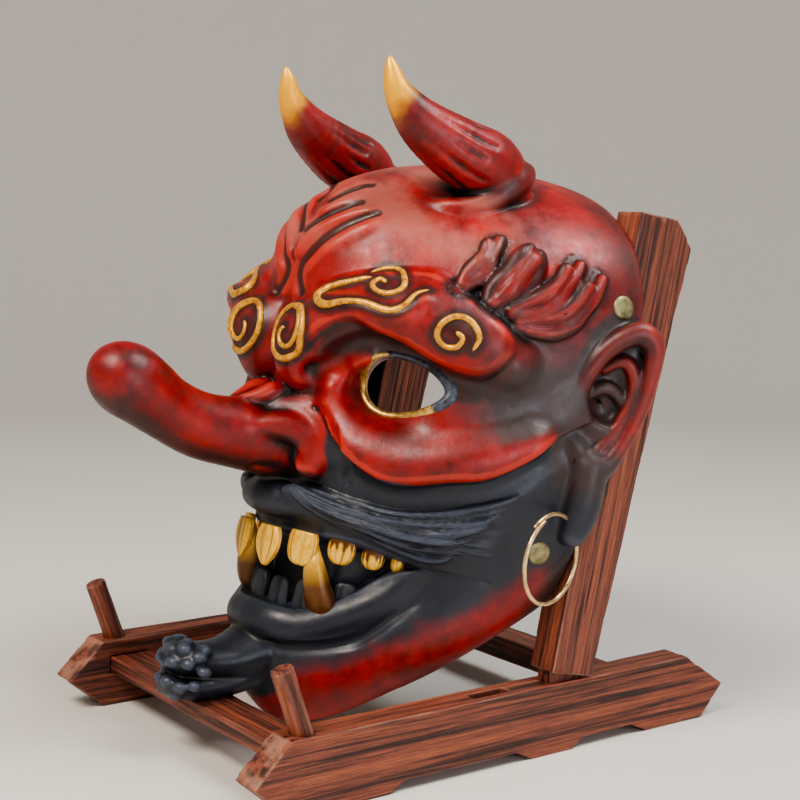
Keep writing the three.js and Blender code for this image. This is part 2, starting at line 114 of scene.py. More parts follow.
class Clay:
    def __init__(self, low, high, cell):
        self.cell = cell
        self.low = np.array(low, float)
        self.count = np.ceil((np.array(high, float) - self.low) / cell).astype(int) + 1
        self.axes = [(self.low[a] + np.arange(self.count[a]) * cell).astype(np.float32) for a in range(3)]
        self.field = np.full(self.count, 1000.0, np.float32)

    def part(self, low, high):
        first = np.clip(np.floor((np.array(low) - self.low) / self.cell).astype(int), 0, self.count - 1)
        last = np.clip(np.ceil((np.array(high) - self.low) / self.cell).astype(int) + 1, 1, self.count)
        where = tuple(slice(a, b) for a, b in zip(first, last))
        x, y, z = (self.axes[a][where[a]] for a in range(3))
        return where, x[:, None, None], y[None, :, None], z[None, None, :]

    def join(self, where, shape, blend, cut):
        shape = shape.astype(np.float32)
        if cut:
            self.field[where] = -softMin(-self.field[where], shape, blend)
        else:
            self.field[where] = softMin(self.field[where], shape, blend)

    def ball(self, at, size, blend, cut=False, way=None):
        # an ellipsoid; with way, its first radius lies along that direction and its third points up
        span = max(size) + blend + 6
        where, x, y, z = self.part(np.array(at) - span, np.array(at) + span)
        x, y, z = x - at[0], y - at[1], z - at[2]
        if way is not None:
            way = np.array(way, float) / np.linalg.norm(way)
            up = np.array([0, 0, 1.0]) - way * way[2]
            up /= np.linalg.norm(up)
            side = np.cross(up, way)
            x, y, z = (x * axis[0] + y * axis[1] + z * axis[2] for axis in (way, side, up))
        self.join(where, ellipsoid(x, y, z, (0, 0, 0), size), blend, cut)

    def toLine(self, rows, reach, steps, stretch):
        rows = bend(rows, steps)
        points = rows[:, :3].copy()
        where, x, y, z = self.part(points.min(0) - reach, points.max(0) + reach)
        x, y, z = np.broadcast_arrays(x, y, z)
        gain = 1.0
        if stretch is not None:
            way = np.array(stretch[:3], float) / np.linalg.norm(stretch[:3])
            gain = stretch[3]
            off = (x * way[0] + y * way[1] + z * way[2]) * (1 / gain - 1)
            x, y, z = x + way[0] * off, y + way[1] * off, z + way[2] * off
            points += way * ((points @ way) * (1 / gain - 1))[:, None]
        best = np.full(x.shape, 900.0, np.float32)
        for a, b, ra, rb in zip(points[:-1], points[1:], rows[:-1, 3], rows[1:, 3]):
            along = b - a
            length = max(along @ along, 1e-9)
            px, py, pz = x - a[0], y - a[1], z - a[2]
            t = np.clip((px * along[0] + py * along[1] + pz * along[2]) / length, 0, 1)
            away = np.sqrt((px - t * along[0]) ** 2 + (py - t * along[1]) ** 2 + (pz - t * along[2]) ** 2)
            best = np.minimum(best, away - (ra + t * (rb - ra)))
        return where, best * min(1.0, gain)

    def roll(self, rows, blend, cut=False, stretch=None):
        # a round limb through rows of x, y, z and radius, stretched along a direction if asked
        reach = max(row[3] for row in rows) * (max(1.0, stretch[3]) if stretch else 1.0) + blend + 5
        where, shape = self.toLine(rows, reach, 4 * len(rows), stretch)
        self.join(where, shape, blend, cut)

    def score(self, rows, width, depth):
        # a groove that follows a line on the surface, shallower where the row's last value is below 0
        where, away = self.toLine(rows, 3 * width, 5 * len(rows), None)
        self.field[where] += (depth * np.exp(-(away / width) ** 2)).astype(np.float32)

    def at(self, points, field=None):
        field = self.field if field is None else field
        points = np.array(points, float)
        points[..., 0] = np.abs(points[..., 0])
        place = np.clip((points - self.low) / self.cell, 0, self.count - 1.001)
        i = place.astype(int)
        t = place - i
        total = 0
        for dx, dy, dz in np.ndindex(2, 2, 2):
            weight = np.abs(1 - dx - t[..., 0]) * np.abs(1 - dy - t[..., 1]) * np.abs(1 - dz - t[..., 2])
            total = total + weight * field[i[..., 0] + dx, i[..., 1] + dy, i[..., 2] + dz]
        return total

    def slope(self, points, step=1.0):
        points = np.asarray(points, float)
        out = np.stack([self.at(points + step * axis) - self.at(points - step * axis) for axis in np.eye(3)], -1)
        return out / np.maximum(np.linalg.norm(out, axis=-1, keepdims=True), 1e-9)

    def land(self, start, way, reach):
        # the first point of the surface that a straight way meets
        t = np.arange(0, reach, self.cell * 0.7)
        line = np.array(start, float) + t[:, None] * np.array(way, float)
        value = self.at(line)
        hit = max(int((value < 0).argmax()), 1)
        before, after = value[hit - 1], value[hit]
        share = before / (before - after) if before > after else 0
        return line[hit - 1] + (line[hit] - line[hit - 1]) * share

    def onFace(self, rows, lift=0.0):
        # rows of (degrees round the face, z, radius) as points on the surface
        out = []
        for turn, z, radius in rows:
            t = math.radians(turn)
            way = np.array([-math.sin(t), math.cos(t), 0])
            point = self.land(way * -200 + [0, 0, z], way, 200)
            out.append((*(point - way * lift), radius))
        return out

    def blurred(self, reach):
        # the field, clamped near the surface and averaged over a box, which reads hollow below 0
        soft = np.clip(self.field, -8, 8).astype(np.float32)
        soft = np.concatenate([soft[reach:0:-1], soft], 0)
        for axis in range(3):
            for _ in range(2):
                pad = [(0, 0)] * 3
                pad[axis] = (reach + 1, reach)
                total = np.cumsum(np.pad(soft, pad, mode="edge"), axis=axis, dtype=np.float32)
                size = soft.shape[axis]
                ahead = np.take(total, range(2 * reach + 1, size + 2 * reach + 1), axis=axis)
                behind = np.take(total, range(0, size), axis=axis)
                soft = (ahead - behind) / (2 * reach + 1)
        return soft[reach:]


def wrap(field, low, cell):
    # points and four-sided faces of the surface where a field crosses 0, facing out
    inside = field < 0
    size = field.shape
    corners = list(np.ndindex(2, 2, 2))
    total = sum(inside[i:size[0] - 1 + i, j:size[1] - 1 + j, k:size[2] - 1 + k].astype(np.int8)
                for i, j, k in corners)
    crossed = (total > 0) & (total < 8)
    number = np.full(crossed.shape, -1, np.int32)
    cells = np.argwhere(crossed)
    number[crossed] = np.arange(len(cells))
    value = {c: field[cells[:, 0] + c[0], cells[:, 1] + c[1], cells[:, 2] + c[2]] for c in corners}
    summed = np.zeros((len(cells), 3))
    crossings = np.zeros(len(cells))
    for a in corners:
        for axis in range(3):
            if a[axis] == 1:
                continue
            b = tuple(1 if i == axis else a[i] for i in range(3))
            cut = (value[a] < 0) != (value[b] < 0)
            place = np.zeros((len(cells), 3)) + a
            place[:, axis] += np.where(cut, value[a] / (value[a] - value[b] + 1e-20), 0)
            summed[cut] += place[cut]
            crossings[cut] += 1
    points = (cells + summed / crossings[:, None]) * cell + low
    faces = []
    for axis in range(3):
        u, v = [(1, 2), (2, 0), (0, 1)][axis]
        near = inside[tuple(slice(1, size[d] - 1) if d != axis else slice(0, size[d] - 1) for d in range(3))]
        far = inside[tuple(slice(1, size[d] - 1) if d != axis else slice(1, size[d]) for d in range(3))]
        for edges, turned in ((near & ~far, False), (~near & far, True)):
            spot = np.argwhere(edges)
            for d in range(3):
                if d != axis:
                    spot[:, d] += 1
            quad = []
            for du, dv in ((1, 1), (0, 1), (0, 0), (1, 0)):
                step = spot.copy()
                step[:, u] -= du
                step[:, v] -= dv
                quad.append(number[step[:, 0], step[:, 1], step[:, 2]])
            quad = np.stack(quad, 1)
            faces.append(quad[:, ::-1] if turned else quad)
    return points, np.vstack(faces)


# Mesh helpers

def makeObject(name, points, faces, smoothed=True):
    # a mesh object from points in metres of the row frame
    mesh = bpy.data.meshes.new(name)
    mesh.from_pydata([tuple(p) for p in points], [], [tuple(int(i) for i in f) for f in faces])
    mesh.update()
    piece = bpy.data.objects.new(name, mesh)
    bpy.context.scene.collection.objects.link(piece)
    if smoothed:
        mesh.polygons.foreach_set("use_smooth", np.ones(len(mesh.polygons), bool))
    return piece


def settle(piece):
    # puts a piece's modifiers into its mesh
    graph = bpy.context.evaluated_depsgraph_get()
    mesh = bpy.data.meshes.new_from_object(piece.evaluated_get(graph))
    old = piece.data
    piece.modifiers.clear()
    piece.data = mesh
    mesh.name = piece.name
    bpy.data.meshes.remove(old)


def places(piece):
    out = np.empty(len(piece.data.vertices) * 3, np.float32)
    piece.data.vertices.foreach_get("co", out)
    return out.reshape(-1, 3).astype(float)


def write(piece, name, values):
    # stores one number, or three, on every point of a piece, for its material to read
    values = np.asarray(values, np.float32)
    kind = "FLOAT" if values.ndim == 1 else "FLOAT_VECTOR"
    field = piece.data.attributes.new(name, kind, "POINT")
    field.data.foreach_set("value" if values.ndim == 1 else "vector", values.ravel())


def ripple(points, size, seed):
    # smooth noise between about -1 and 1, as a sum of waves with a given length
    random = np.random.default_rng(seed)
    total = np.zeros(len(points))
    for octave in range(3):
        for _ in range(4):
            way = random.normal(size=3)
            way *= 2 * math.pi / (size / 1.9 ** octave) / np.linalg.norm(way)
            total += np.sin(points @ way + random.uniform(0, 6.3)) * 0.35 / 1.6 ** octave
    return total


def tube(name, path, across, up, wide, tall, sides=10, closed=False):
    # a tube through points, with its own half width and half height at each, and round ends
    path, across, up = (np.asarray(rows, float) for rows in (path, across, up))
    wide = np.broadcast_to(wide, len(path))
    tall = np.broadcast_to(tall, len(path))
    turn = np.arange(sides) * 2 * math.pi / sides
    rings = (path[:, None] + across[:, None] * (wide[:, None] * np.cos(turn))[..., None]
             + up[:, None] * (tall[:, None] * np.sin(turn))[..., None])
    points = rings.reshape(-1, 3)
    count = len(path)
    faces = []
    for i in range(count if closed else count - 1):
        for j in range(sides):
            a, b = i * sides, ((i + 1) % count) * sides
            faces.append((a + j, a + (j + 1) % sides, b + (j + 1) % sides, b + j))
    if not closed:
        faces.append(tuple(range(sides))[::-1])
        faces.append(tuple((count - 1) * sides + j for j in range(sides)))
    return makeObject(name, points, faces)


# Materials

def paint(code):
    # linear colour of an sRGB code such as 'a33b2c'
    parts = [int(code[i:i + 2], 16) / 255 for i in (0, 2, 4)]
    return (*(c / 12.92 if c <= 0.04045 else ((c + 0.055) / 1.055) ** 2.4 for c in parts), 1)


def addNode(tree, kind, settings=None, links=None):
    # adds a node. A setting names one of its properties, or else one of its sockets by name or number
    node = tree.nodes.new("ShaderNode" + kind)
    for key, value in (settings or {}).items():
        if isinstance(key, str) and hasattr(node, key):
            setattr(node, key, value)
        else:
            node.inputs[key].default_value = value
    for key, source in (links or {}).items():
        tree.links.new(source, node.inputs[key])
    return node


def newMaterial(name):
    # a material with its tree and its main shader
    material = bpy.data.materials.new(name)
    material.use_nodes = True
    tree = material.node_tree
    return material, tree, tree.nodes["Principled BSDF"]


# The mask: features in its own millimetres, mirrored to the other side

shellForm = {
    "wall": 5.0,
    "thinnest": 3.4,
    "skull": ((0, -4, 188), (113, 125, 110), 0.01),
    "temples": ((52, 8, 222), (66, 90, 62), 20),
    "forehead": ((0, -52, 224), (70, 80, 62), 14),
    "midFace": ((0, -14, 128), (102, 100, 80), 25),
    "muzzle": ((0, -64, 73), (47, 54, 48), 20),
    "jaw": [(76, 0, 106, 21), (68, -26, 76, 23), (46, -57, 43, 23), (16, -75, 16, 19), (0, -79, 10, 18)],
    "chin": ((0, -76, 24), (42, 39, 35), 16),
    "socket": ((64, -106, 170), (27, 17, 21), 12),
    "mouth": ((0, -120, 70), (50, 22, 17), 7),
    "mouthTop": [(-5, 87), (7, 87.5), (16, 89), (22.5, 89.5), (28, 88.5), (37, 86), (45, 83)],
    "mouthBase": [(-5, 51), (7, 50.5), (13.5, 51), (20, 55), (26.5, 64.5), (32, 73), (38, 79), (45, 83)],
    "mouthDepth": 9.0,
    "throat": {"height": 60, "slope": 0.8, "blend": 4},
}
faceForm = {
    "brow": [(18, -122, 187, 18), (38, -114, 191, 19), (58, -103, 200, 17), (76, -88, 202, 16),
             (90, -73, 197, 14), (98, -62, 190, 11)],
    "browLobe": ((17.5, -127, 182), (15.5, 15, 23), 5),
    "browEnd": ((92, -73, 197), (13, 16, 13.5), 6),
    "browTop": [(0, 203), (6, 205), (10, 211), (14, 216), (20, 221), (29, 226), (36, 228), (40, 225.5), (43, 222),
                (47, 217.5), (51, 212.5), (58, 203)],
    "browEdge": [(0, 158), (8, 164), (13, 179), (18, 191), (24, 196), (30, 191), (34, 190), (38, 186), (42, 182.5),
                 (47, 180.5), (51, 181), (54, 185), (56.5, 191), (58, 198)],
    "browLift": 4.6,
    "underBrow": [(14, 168, 6), (18, 171, 8), (21, 177, 8.5), (25, 183, 8.5), (29, 185, 8), (33, 184, 7.5),
                  (37, 181, 7), (42, 177, 6), (48, 174, 5), (54, 173, 3)],
    "cloudRoll": [(16, 203, 4), (20, 203, 5), (25, 203, 5), (30, 201, 5), (34, 203, 5), (37, 211, 3)],
    "cheek": [(30, -111, 143, 11), (46, -103, 136, 13), (66, -88, 134, 13), (86, -67, 141, 12),
              (101, -44, 154, 9)],
    "cheekEdge": [(13, 152), (17, 149), (21.5, 137), (29.5, 126), (37, 122.5), (49, 129), (58, 134), (66, 145),
                  (73, 159), (84, 173), (92, 181)],
    "cheekStep": 4.5,
    "crease": [(0, -132, 228, -2), (0, -133, 218, 0), (0, -131, 205, 0), (0, -128, 192, 0)],
    # each furrow: where it runs, with how far it opens, then its width and depth
    "furrows": [([(5, 206, -1.5), (2.8, 214, -0.6), (2.6, 220, 0.2), (4.7, 226.5, 1), (7.3, 233.8, 1.2), (10, 239.7, 0.8),
                  (12.7, 245, 0), (15.3, 249.5, -1), (17.6, 252, -3.5)], 3.0, 7),
                ([(1, 239, -1), (3.9, 245.7, 0), (7, 250.9, 0), (9.5, 254, -1), (11.8, 256.5, -3)], 1.9, 4.5),
                ([(2.4, 256, -1), (4.1, 262, -0.2), (6.5, 265.5, -0.5), (9.5, 267.5, -3)], 1.9, 3.5)],
    "folds": [([(2.2, 226, 0), (4.5, 234, 1), (8, 241, 1), (11.5, 247, 0), (15, 252, -2)], 4.4, 3.8),
              ([(6, 222, 0), (9, 230, 1), (12.5, 237, 1), (16, 243, 0), (19, 248, -3)], 4.5, 2.4),
              ([(3, 250, 0), (6.5, 256, 0), (10, 260, -2)], 3.2, 1.4)],
    "underLip": [(-4, 30, 0), (8, 30, 0.5), (16, 32.5, 0.5), (23.5, 36.5, 0), (29.5, 41, 0), (35.5, 49, -0.5), (40, 57, -1),
                 (46, 66, -3)],
    "upperLip": [(0, -120.5, 103, 9.2), (13, -117.5, 103, 8.6), (25, -108, 102, 7), (38, -93, 99, 6),
                 (52, -77, 95, 5), (62, -66, 88, 4)],
    "lowerLip": [(0, -112, 41, 11.5), (13, -109, 41, 11.5), (25, -101, 42, 11), (37, -89, 50, 10),
                 (51, -74, 64, 8), (61, -65, 80, 5)],
}
noseForm = {
    "shaft": [(0, -100, 138, 23), (0, -120, 133, 20.5), (0, -144, 132, 18), (0, -167, 132.5, 16.5),
              (0, -187, 138, 15.8), (0, -201.5, 144.5, 17.3), (0, -211, 148.3, 17.8), (0, -217, 150.5, 13.5),
              (0, -220.5, 151.5, 8)],
    "nub": [(4, -147, 149, 3), (6.5, -140, 152.5, 4), (7.5, -135, 155.5, 4.6), (8, -130, 157.5, 4)],
    "root": [(9, -127, 147, 9), (19, -119.5, 148, 9.5), (28, -113, 149, 8)],
    "wing": [(9, -150, 134, 5), (15, -141, 138, 6), (20.5, -129.5, 140, 7.6), (26, -120.5, 137.5, 8.4),
             (29, -116.5, 130.5, 8.4), (28, -117, 124.5, 7.8)],
    "nostril": [(12, -138, 117, 2), (15, -130, 116, 4), (16, -123, 115, 3)],
    "gutter": [(13, 152, -2), (17, 150.5, 0), (20, 143, 1), (23, 134, 1), (24.5, 126, 0), (23, 119, -1)],
}
hornForm = {
    "path": [(56, -52, 275, 15), (56, -64, 286.5, 17.5), (54.5, -80, 289.5, 17), (51.5, -102, 296.3, 13.2),
             (49.5, -114, 303, 9.8), (48, -123, 311, 6.5), (47, -127.4, 319.3, 3.9), (46.8, -130, 325, 1.2)],
    "collar": [(43, -88, 261, 3.5), (52, -82, 262, 5), (60, -72, 265, 6), (66, -62, 273, 6.5), (68, -55, 281, 7),
               (64, -48, 287, 6.5), (56, -42, 288, 6)],
    # lengthwise lines: degrees round the horn, then where each begins and ends along it
    "lines": [(8, 0.24, 0.4), (30, 0.27, 0.52), (52, 0.24, 0.42), (76, 0.27, 0.48), (100, 0.24, 0.38), (128, 0.27, 0.52),
              (160, 0.24, 0.42), (196, 0.27, 0.48), (230, 0.24, 0.52), (262, 0.27, 0.42), (290, 0.24, 0.52),
              (325, 0.27, 0.44)],
}
moustacheForm = {
    "base": [(9, 109, 3), (18, 106, 5), (32, 100, 5.5), (43, 99, 5), (52, 104, 3.5), (60, 111, 1)],
    "upper": [(10, 113, 1), (15, 112.5, 1.6), (24, 110, 1.7), (36, 108.5, 1.7), (48, 112.5, 1.7), (58, 119.5, 1.7),
              (64, 124.5, 1.2), (68, 129.5, 0.4)],
    "lower": [(10, 109.5, 1), (14, 104, 1.6), (20, 98.5, 1.7), (30, 95, 1.7), (37, 91, 1.7), (45, 88.5, 1.7),
              (50.5, 89.5, 1.4), (54, 93, 0.4)],
    "count": 7,
}
lockForm = [
    # rows of degrees round the face, z and radius, then the number of strands and how far they spread
    ([(43.5, 222.5, 5), (45.2, 228, 6.8), (47, 235, 7), (48, 242, 6.2), (48.7, 249.5, 4.4)], 2, 2.6),
    ([(51, 216, 5), (53, 222.5, 7.2), (55.4, 230, 8.2), (57.6, 238.5, 7.4), (59, 246, 5)], 3, 5.6),
    ([(55.5, 214, 4.5), (60.5, 218.5, 6), (64.6, 226, 7), (67.6, 235.5, 6.6), (69.8, 245.5, 4.4)], 2, 3.2),
    ([(57.5, 209.5, 4.5), (63.5, 211, 6.4), (69, 217.5, 7.2), (73, 228, 6.8), (75.8, 241, 4.6)], 2, 3.2),
]
earForm = {
    "middle": (113, -10, 178),
    "faces": (0.862, -0.494, -0.114),
    # places on the ear's own sheet: back and up from its middle, out of it, and a radius
    "plate": ((1, 2, -1), (5, 18, 42)),
    "dish": ((1, 15, 6.5), (8, 12.5, 22)),
    "concha": ((1.5, 1, 3), (7, 8.5, 8.5)),
    "helix": [(-13, -5, 1, 4), (-15, 5, 3, 5.2), (-13, 16, 4.5, 5.4), (-7, 28, 5, 5.2), (1, 36.5, 5, 5.6),
              (10, 40.5, 4.5, 6.2), (17, 36, 4, 5.8), (19, 27, 4, 4.8), (19, 13, 3.5, 4.2), (16.8, -1, 3, 4.2),
              (12.8, -15, 2.5, 4.4), (7.5, -27, 2, 5.4)],
    "antihelix": [(-3, 20, -0.5, 2.4), (1.5, 24.5, 1, 3.2), (6.5, 25, 1.5, 3.5), (11, 20.5, 2, 3.4), (13, 12.5, 2, 3.2),
                  (12, 3, 2, 3.2), (8.5, -8, 2, 3.2), (3.5, -18, 2, 3.6), (-2, -26, 1, 4)],
    "crus": [(-10, 4.5, 0, 2.4), (-5.7, 9, 1, 3.2), (-0.5, 11, 0.8, 3.4), (5, 9.2, -0.2, 3.2), (9.5, 5, -1, 2.8)],
    "rim": [(-13, 2, 1, 3.6), (-9.5, -4.5, 1, 3.8), (-3.6, -8.6, 1, 3.8), (3, -10.5, 1, 3.6)],
    "tragus": [(-12, -18.5, -2, 7), (-8, -22.5, -2, 8), (-5, -30, -2, 8)],
    "lobe": [(111, -9, 148, 9), (110, -8, 136, 9.5), (109, -8, 124, 9), (108, -9, 115, 7)],
}
beardForm = {
    "upper": [(0, -96, 31, 13), (0, -112, 25.5, 12), (0, -126, 19.5, 10), (0, -140, 17.2, 8.6), (0, -152, 17.4, 8.6)],
    "lower": [(0, -112, 13, 9), (0, -128, 6.5, 8), (0, -142, 3.4, 7), (0, -153, 2.8, 6.4)],
    "spread": 1.6,
    "knobs": [(1.5, -157.5, 21, 3.8), (8, -155.5, 23, 3.3), (14, -150, 20.5, 3.6), (5.5, -159, 15.6, 3.6),
              (12.5, -154.5, 16.4, 3.3), (17, -147.5, 14, 3.4), (4.5, -152.5, 25.4, 3), (11.5, -146.5, 23.8, 3.2),
              (0, -159.5, 13.6, 3), (3, -158.3, 5.4, 3.7), (10, -155, 4.4, 3.4), (15, -150, 6.4, 3.2), (6.5, -155, -0.6, 3)],
}
eyeForm = {
    "faces": (0.74, -0.67, 0.04),
    "hole": [(54.2, -96.4, 170, 13.8), (62, -92, 170.3, 12.2), (70, -88, 170.5, 8.6), (77, -85, 170.5, 4.2)],
}


def earFrame():
    # the directions back, up and out of the ear's own sheet
    out = np.array(earForm["faces"], float) / np.linalg.norm(earForm["faces"])
    back = np.cross([0, 0, 1.0], out)
    back /= np.linalg.norm(back)
    return np.array([back, np.cross(out, back), out])


def onEar(rows):
    # places on the ear's sheet as points of the mask
    return [(*(np.array(earForm["middle"]) + np.array(row[:3]) @ earFrame()), row[3]) for row in rows]


def hornLines():
    # lines that follow the horn, on its skin
    rows = bend(hornForm["path"], 80)
    along = np.gradient(rows[:, :3], axis=0)
    along /= np.linalg.norm(along, axis=1, keepdims=True)
    first = np.cross(along, [1.0, 0, 0])
    first /= np.linalg.norm(first, axis=1, keepdims=True)
    second = np.cross(along, first)
    paths = []
    for turn, start, end in hornForm["lines"]:
        angle = math.radians(turn)
        i = np.linspace(start * 79, end * 79, 8).astype(int)
        skin = rows[i, :3] + rows[i, 3:4] * (math.cos(angle) * first[i] + math.sin(angle) * second[i])
        opened = np.interp(np.linspace(0, 1, 8), [0, 0.3, 1], [-0.4, 0.2, -2.4])
        paths.append([(*point, wide) for point, wide in zip(skin, opened)])
    return paths


def strands(clay, rows, count, spread, blend):
    # a lock of hair: limbs side by side that part in the middle and meet at the tip
    rows = bend(clay.onFace(rows, 2), 7)
    along = np.gradient(rows[:, :3], axis=0)
    out = rows[:, :3] * [1, 1, 0] + [0, 20, 0]
    out /= np.linalg.norm(out, axis=1, keepdims=True)
    across = np.cross(along, out)
    across /= np.linalg.norm(across, axis=1, keepdims=True)
    part = np.sin(np.pi * np.linspace(0.2, 0.82, 7)) ** 0.7
    lumps = 1 + 0.09 * np.sin(np.arange(7) * 2.1 + count)
    for k in range(count):
        side = 2 * k / (count - 1) - 1
        path = rows.copy()
        sway = 0.9 * np.sin(np.arange(7) * 1.7 + 2 * k + count)
        path[:, :3] += across * (side * spread * part + sway)[:, None]
        path[:, :3] -= out * (abs(side) * spread * 0.25 * part)[:, None]
        path[:, 3] *= (0.76 - 0.1 * abs(side)) * lumps
        last = 6 if (k + count) % 2 else 5
        clay.roll([tuple(row) for row in path[:last + 1]], blend)


def sculptShell(clay):
    for name in ("skull", "temples", "forehead", "midFace", "muzzle"):
        clay.ball(*shellForm[name])
    clay.roll(shellForm["jaw"], 20)
    clay.ball(*shellForm["chin"])
    clay.ball(*shellForm["socket"], cut=True)
    clay.ball(*shellForm["mouth"], cut=True)
    throat = shellForm["throat"]
    where, x, y, z = clay.part(clay.low, clay.low + clay.count * clay.cell)
    below = (throat["height"] + throat["slope"] * y - z) / math.hypot(1, throat["slope"]) + 0 * x
    clay.field = -softMin(-clay.field, -below.astype(np.float32), throat["blend"])
    where, x, y, z = clay.part((0, -160, 40), (100, -40, 104))
    within = betweenLines(x, y, z, shellForm["mouthBase"], shellForm["mouthTop"])
    clay.field[where] += (shellForm["mouthDepth"] * smooth(within, -1, 5)).astype(np.float32)
    return clay.field + shellForm["wall"], (where, np.minimum(within, clay.field[where]))


def overLine(turn, rows):
    # height of a smooth line of (degrees round the face, z) above each of some bearings
    rows = bend(rows, 12 * len(rows))
    return np.interp(turn, np.maximum.accumulate(rows[:, 0]), rows[:, 1])


def betweenLines(x, y, z, low, high):
    # how far a place lies between two lines of (degrees round the face, z)
    turn = np.degrees(np.arctan2(x, -y)) + 0 * z
    return np.minimum(z - overLine(turn, low), overLine(turn, high) - z).astype(np.float32)


def sculptFace(clay):
    clay.roll(faceForm["brow"], 8)
    clay.ball(*faceForm["browLobe"])
    clay.ball(*faceForm["browEnd"])
    where, x, y, z = clay.part((0, -150, 150), (120, -40, 236))
    plate = betweenLines(x, y, z, faceForm["browEdge"], faceForm["browTop"])
    turn = np.degrees(np.arctan2(x, -y)) + 0 * z
    lift = faceForm["browLift"] * smooth(plate, -2.5, 3.5) * smooth(turn, 8, 14) * (1 - smooth(turn, 54, 60))
    clay.field[where] -= lift.astype(np.float32)
    clay.roll(clay.onFace(faceForm["cloudRoll"], -2), 5)
    clay.roll(clay.onFace(faceForm["underBrow"], 3.5), 4, cut=True)
    clay.roll(faceForm["cheek"], 8)
    where, x, y, z = clay.part((0, -145, 95), (139, 14, 215))
    turn = np.degrees(np.arctan2(x, -y)) + 0 * z
    above = z - overLine(turn, faceForm["cheekEdge"])
    step = smooth(above, -1.5, 1.5)
    lift = faceForm["cheekStep"] * step * (1 - smooth(above, 4, 34)) * smooth(turn, 12, 18)
    drop = 2.5 * (1 - step) * smooth(above, -22, -6) * smooth(turn, 16, 24) * (1 - smooth(turn, 78, 92))
    clay.field[where] += (drop - lift).astype(np.float32)
    for rows, width, depth in faceForm["folds"]:
        clay.score(clay.onFace(rows), width, -depth)
    for rows, width, depth in faceForm["furrows"]:
        clay.score(clay.onFace(rows), width, depth)
    clay.score(faceForm["crease"], 2.6, 4)
    clay.roll(faceForm["lowerLip"], 5)
    clay.score(clay.onFace(faceForm["underLip"]), 2.4, 3.6)
    clay.roll(faceForm["upperLip"], 5)
    clay.roll(clay.onFace(moustacheForm["base"], 0.5), 3)
    upper, lower = (np.array(moustacheForm[name], float) for name in ("upper", "lower"))
    share = np.linspace(0, 1, moustacheForm["count"])
    paths = [clay.onFace(upper + (lower - upper) * s, 0.6 - 1.2 * (k % 2)) for k, s in enumerate(share)]
    for path in paths:
        clay.roll(path, 0.4)
    for rows, count, spread in lockForm:
        strands(clay, rows, count, spread, 0.8)


def sculptLimbs(clay):
    gutter = clay.onFace(noseForm["gutter"])
    clay.roll(noseForm["shaft"], 6)
    clay.roll(noseForm["root"], 5)
    clay.roll(noseForm["nub"], 2.5)
    clay.roll(noseForm["wing"], 3)
    clay.score(gutter, 2.4, 3.5)
    clay.roll(noseForm["nostril"], 3, cut=True)
    clay.roll(hornForm["path"], 1.5)
    clay.roll(hornForm["collar"], 2.5)
    for path in hornLines():
        clay.score(path, 1.5, 2.2)
    for name, cut in (("plate", False), ("dish", True), ("concha", True)):
        at, size = earForm[name]
        clay.ball(onEar([(*at, 0)])[0][:3], size, 3, cut=cut, way=earForm["faces"])
    for name, blend in (("helix", 2), ("antihelix", 1.5), ("crus", 1.5), ("rim", 1.5), ("tragus", 2)):
        clay.roll(onEar(earForm[name]), blend)
    clay.roll(earForm["lobe"], 4)
    for name in ("upper", "lower"):
        clay.roll(beardForm[name], 2.5, stretch=(1, 0, 0, beardForm["spread"]))
    for x, y, z, radius in beardForm["knobs"]:
        clay.ball((x, y, z), (radius * 1.15, radius * 1.1, radius * 0.85), 2)


def sculptMask():
    clay = Clay((0, -240, -16), (139, 14, 332), sculptCell)
    hollow, (where, mouth) = sculptShell(clay)
    sculptFace(clay)
    clay.field[where] = np.maximum(clay.field[where], mouth)
    hollow = np.maximum(hollow, clay.field + shellForm["thinnest"])
    clay.field = np.maximum(clay.field, clay.axes[1][None, :, None])
    sculptLimbs(clay)
    clay.roll(eyeForm["hole"], 1, cut=True, stretch=(*eyeForm["faces"], 4))
    clay.field = np.maximum(clay.field, -hollow)
    for side in (clay.field[-1], clay.field[:, 0], clay.field[:, -1], clay.field[:, :, 0], clay.field[:, :, -1]):
        side[...] = 1
    return clay, hollow


clay, hollowField = sculptMask()
print("sculpted on", clay.field.size, "points")

# Gold scroll lines on the brows

scrollForm = {
    "half": 1.45,
    "cloud": [(23.6, 219.1, 0.9), (19, 215, 1.1), (14.8, 210.5, 1.5), (14, 205, 1.7), (17.3, 201.6, 1.4),
              (22, 204.7, 1.1), (26.2, 205.6, 1.1), (29.6, 204, 1.2), (32.2, 204.3, 1.2), (34.1, 208, 1.1),
              (35.2, 214, 0.9), (37.3, 217.5, 0.5)],
    "coil": [(22.5, 221.5, 0.6), (25, 225, 0.9), (28.5, 225.3, 1), (31, 221, 1.1), (31.8, 216, 1.1), (29.8, 212.3, 1.1),
             (26.9, 212.4, 1), (24.8, 215.5, 1), (25.8, 218.8, 0.9), (27.6, 217.6, 0.8)],
    "outer": [(48.8, 192.3, 0.6), (49.6, 199.1, 1), (47.6, 205.5, 1.1), (44.6, 207.2, 1.1), (42, 203.2, 1.1),
              (41.2, 196.7, 1.1), (42.9, 192.3, 1), (45.5, 192.9, 1), (46.4, 197.2, 0.9), (44.8, 199.8, 0.8)],
    "disc": {"at": (8.4, 186), "radius": 13.6, "turns": 1.95, "knee": 0.48, "start": 130},
}


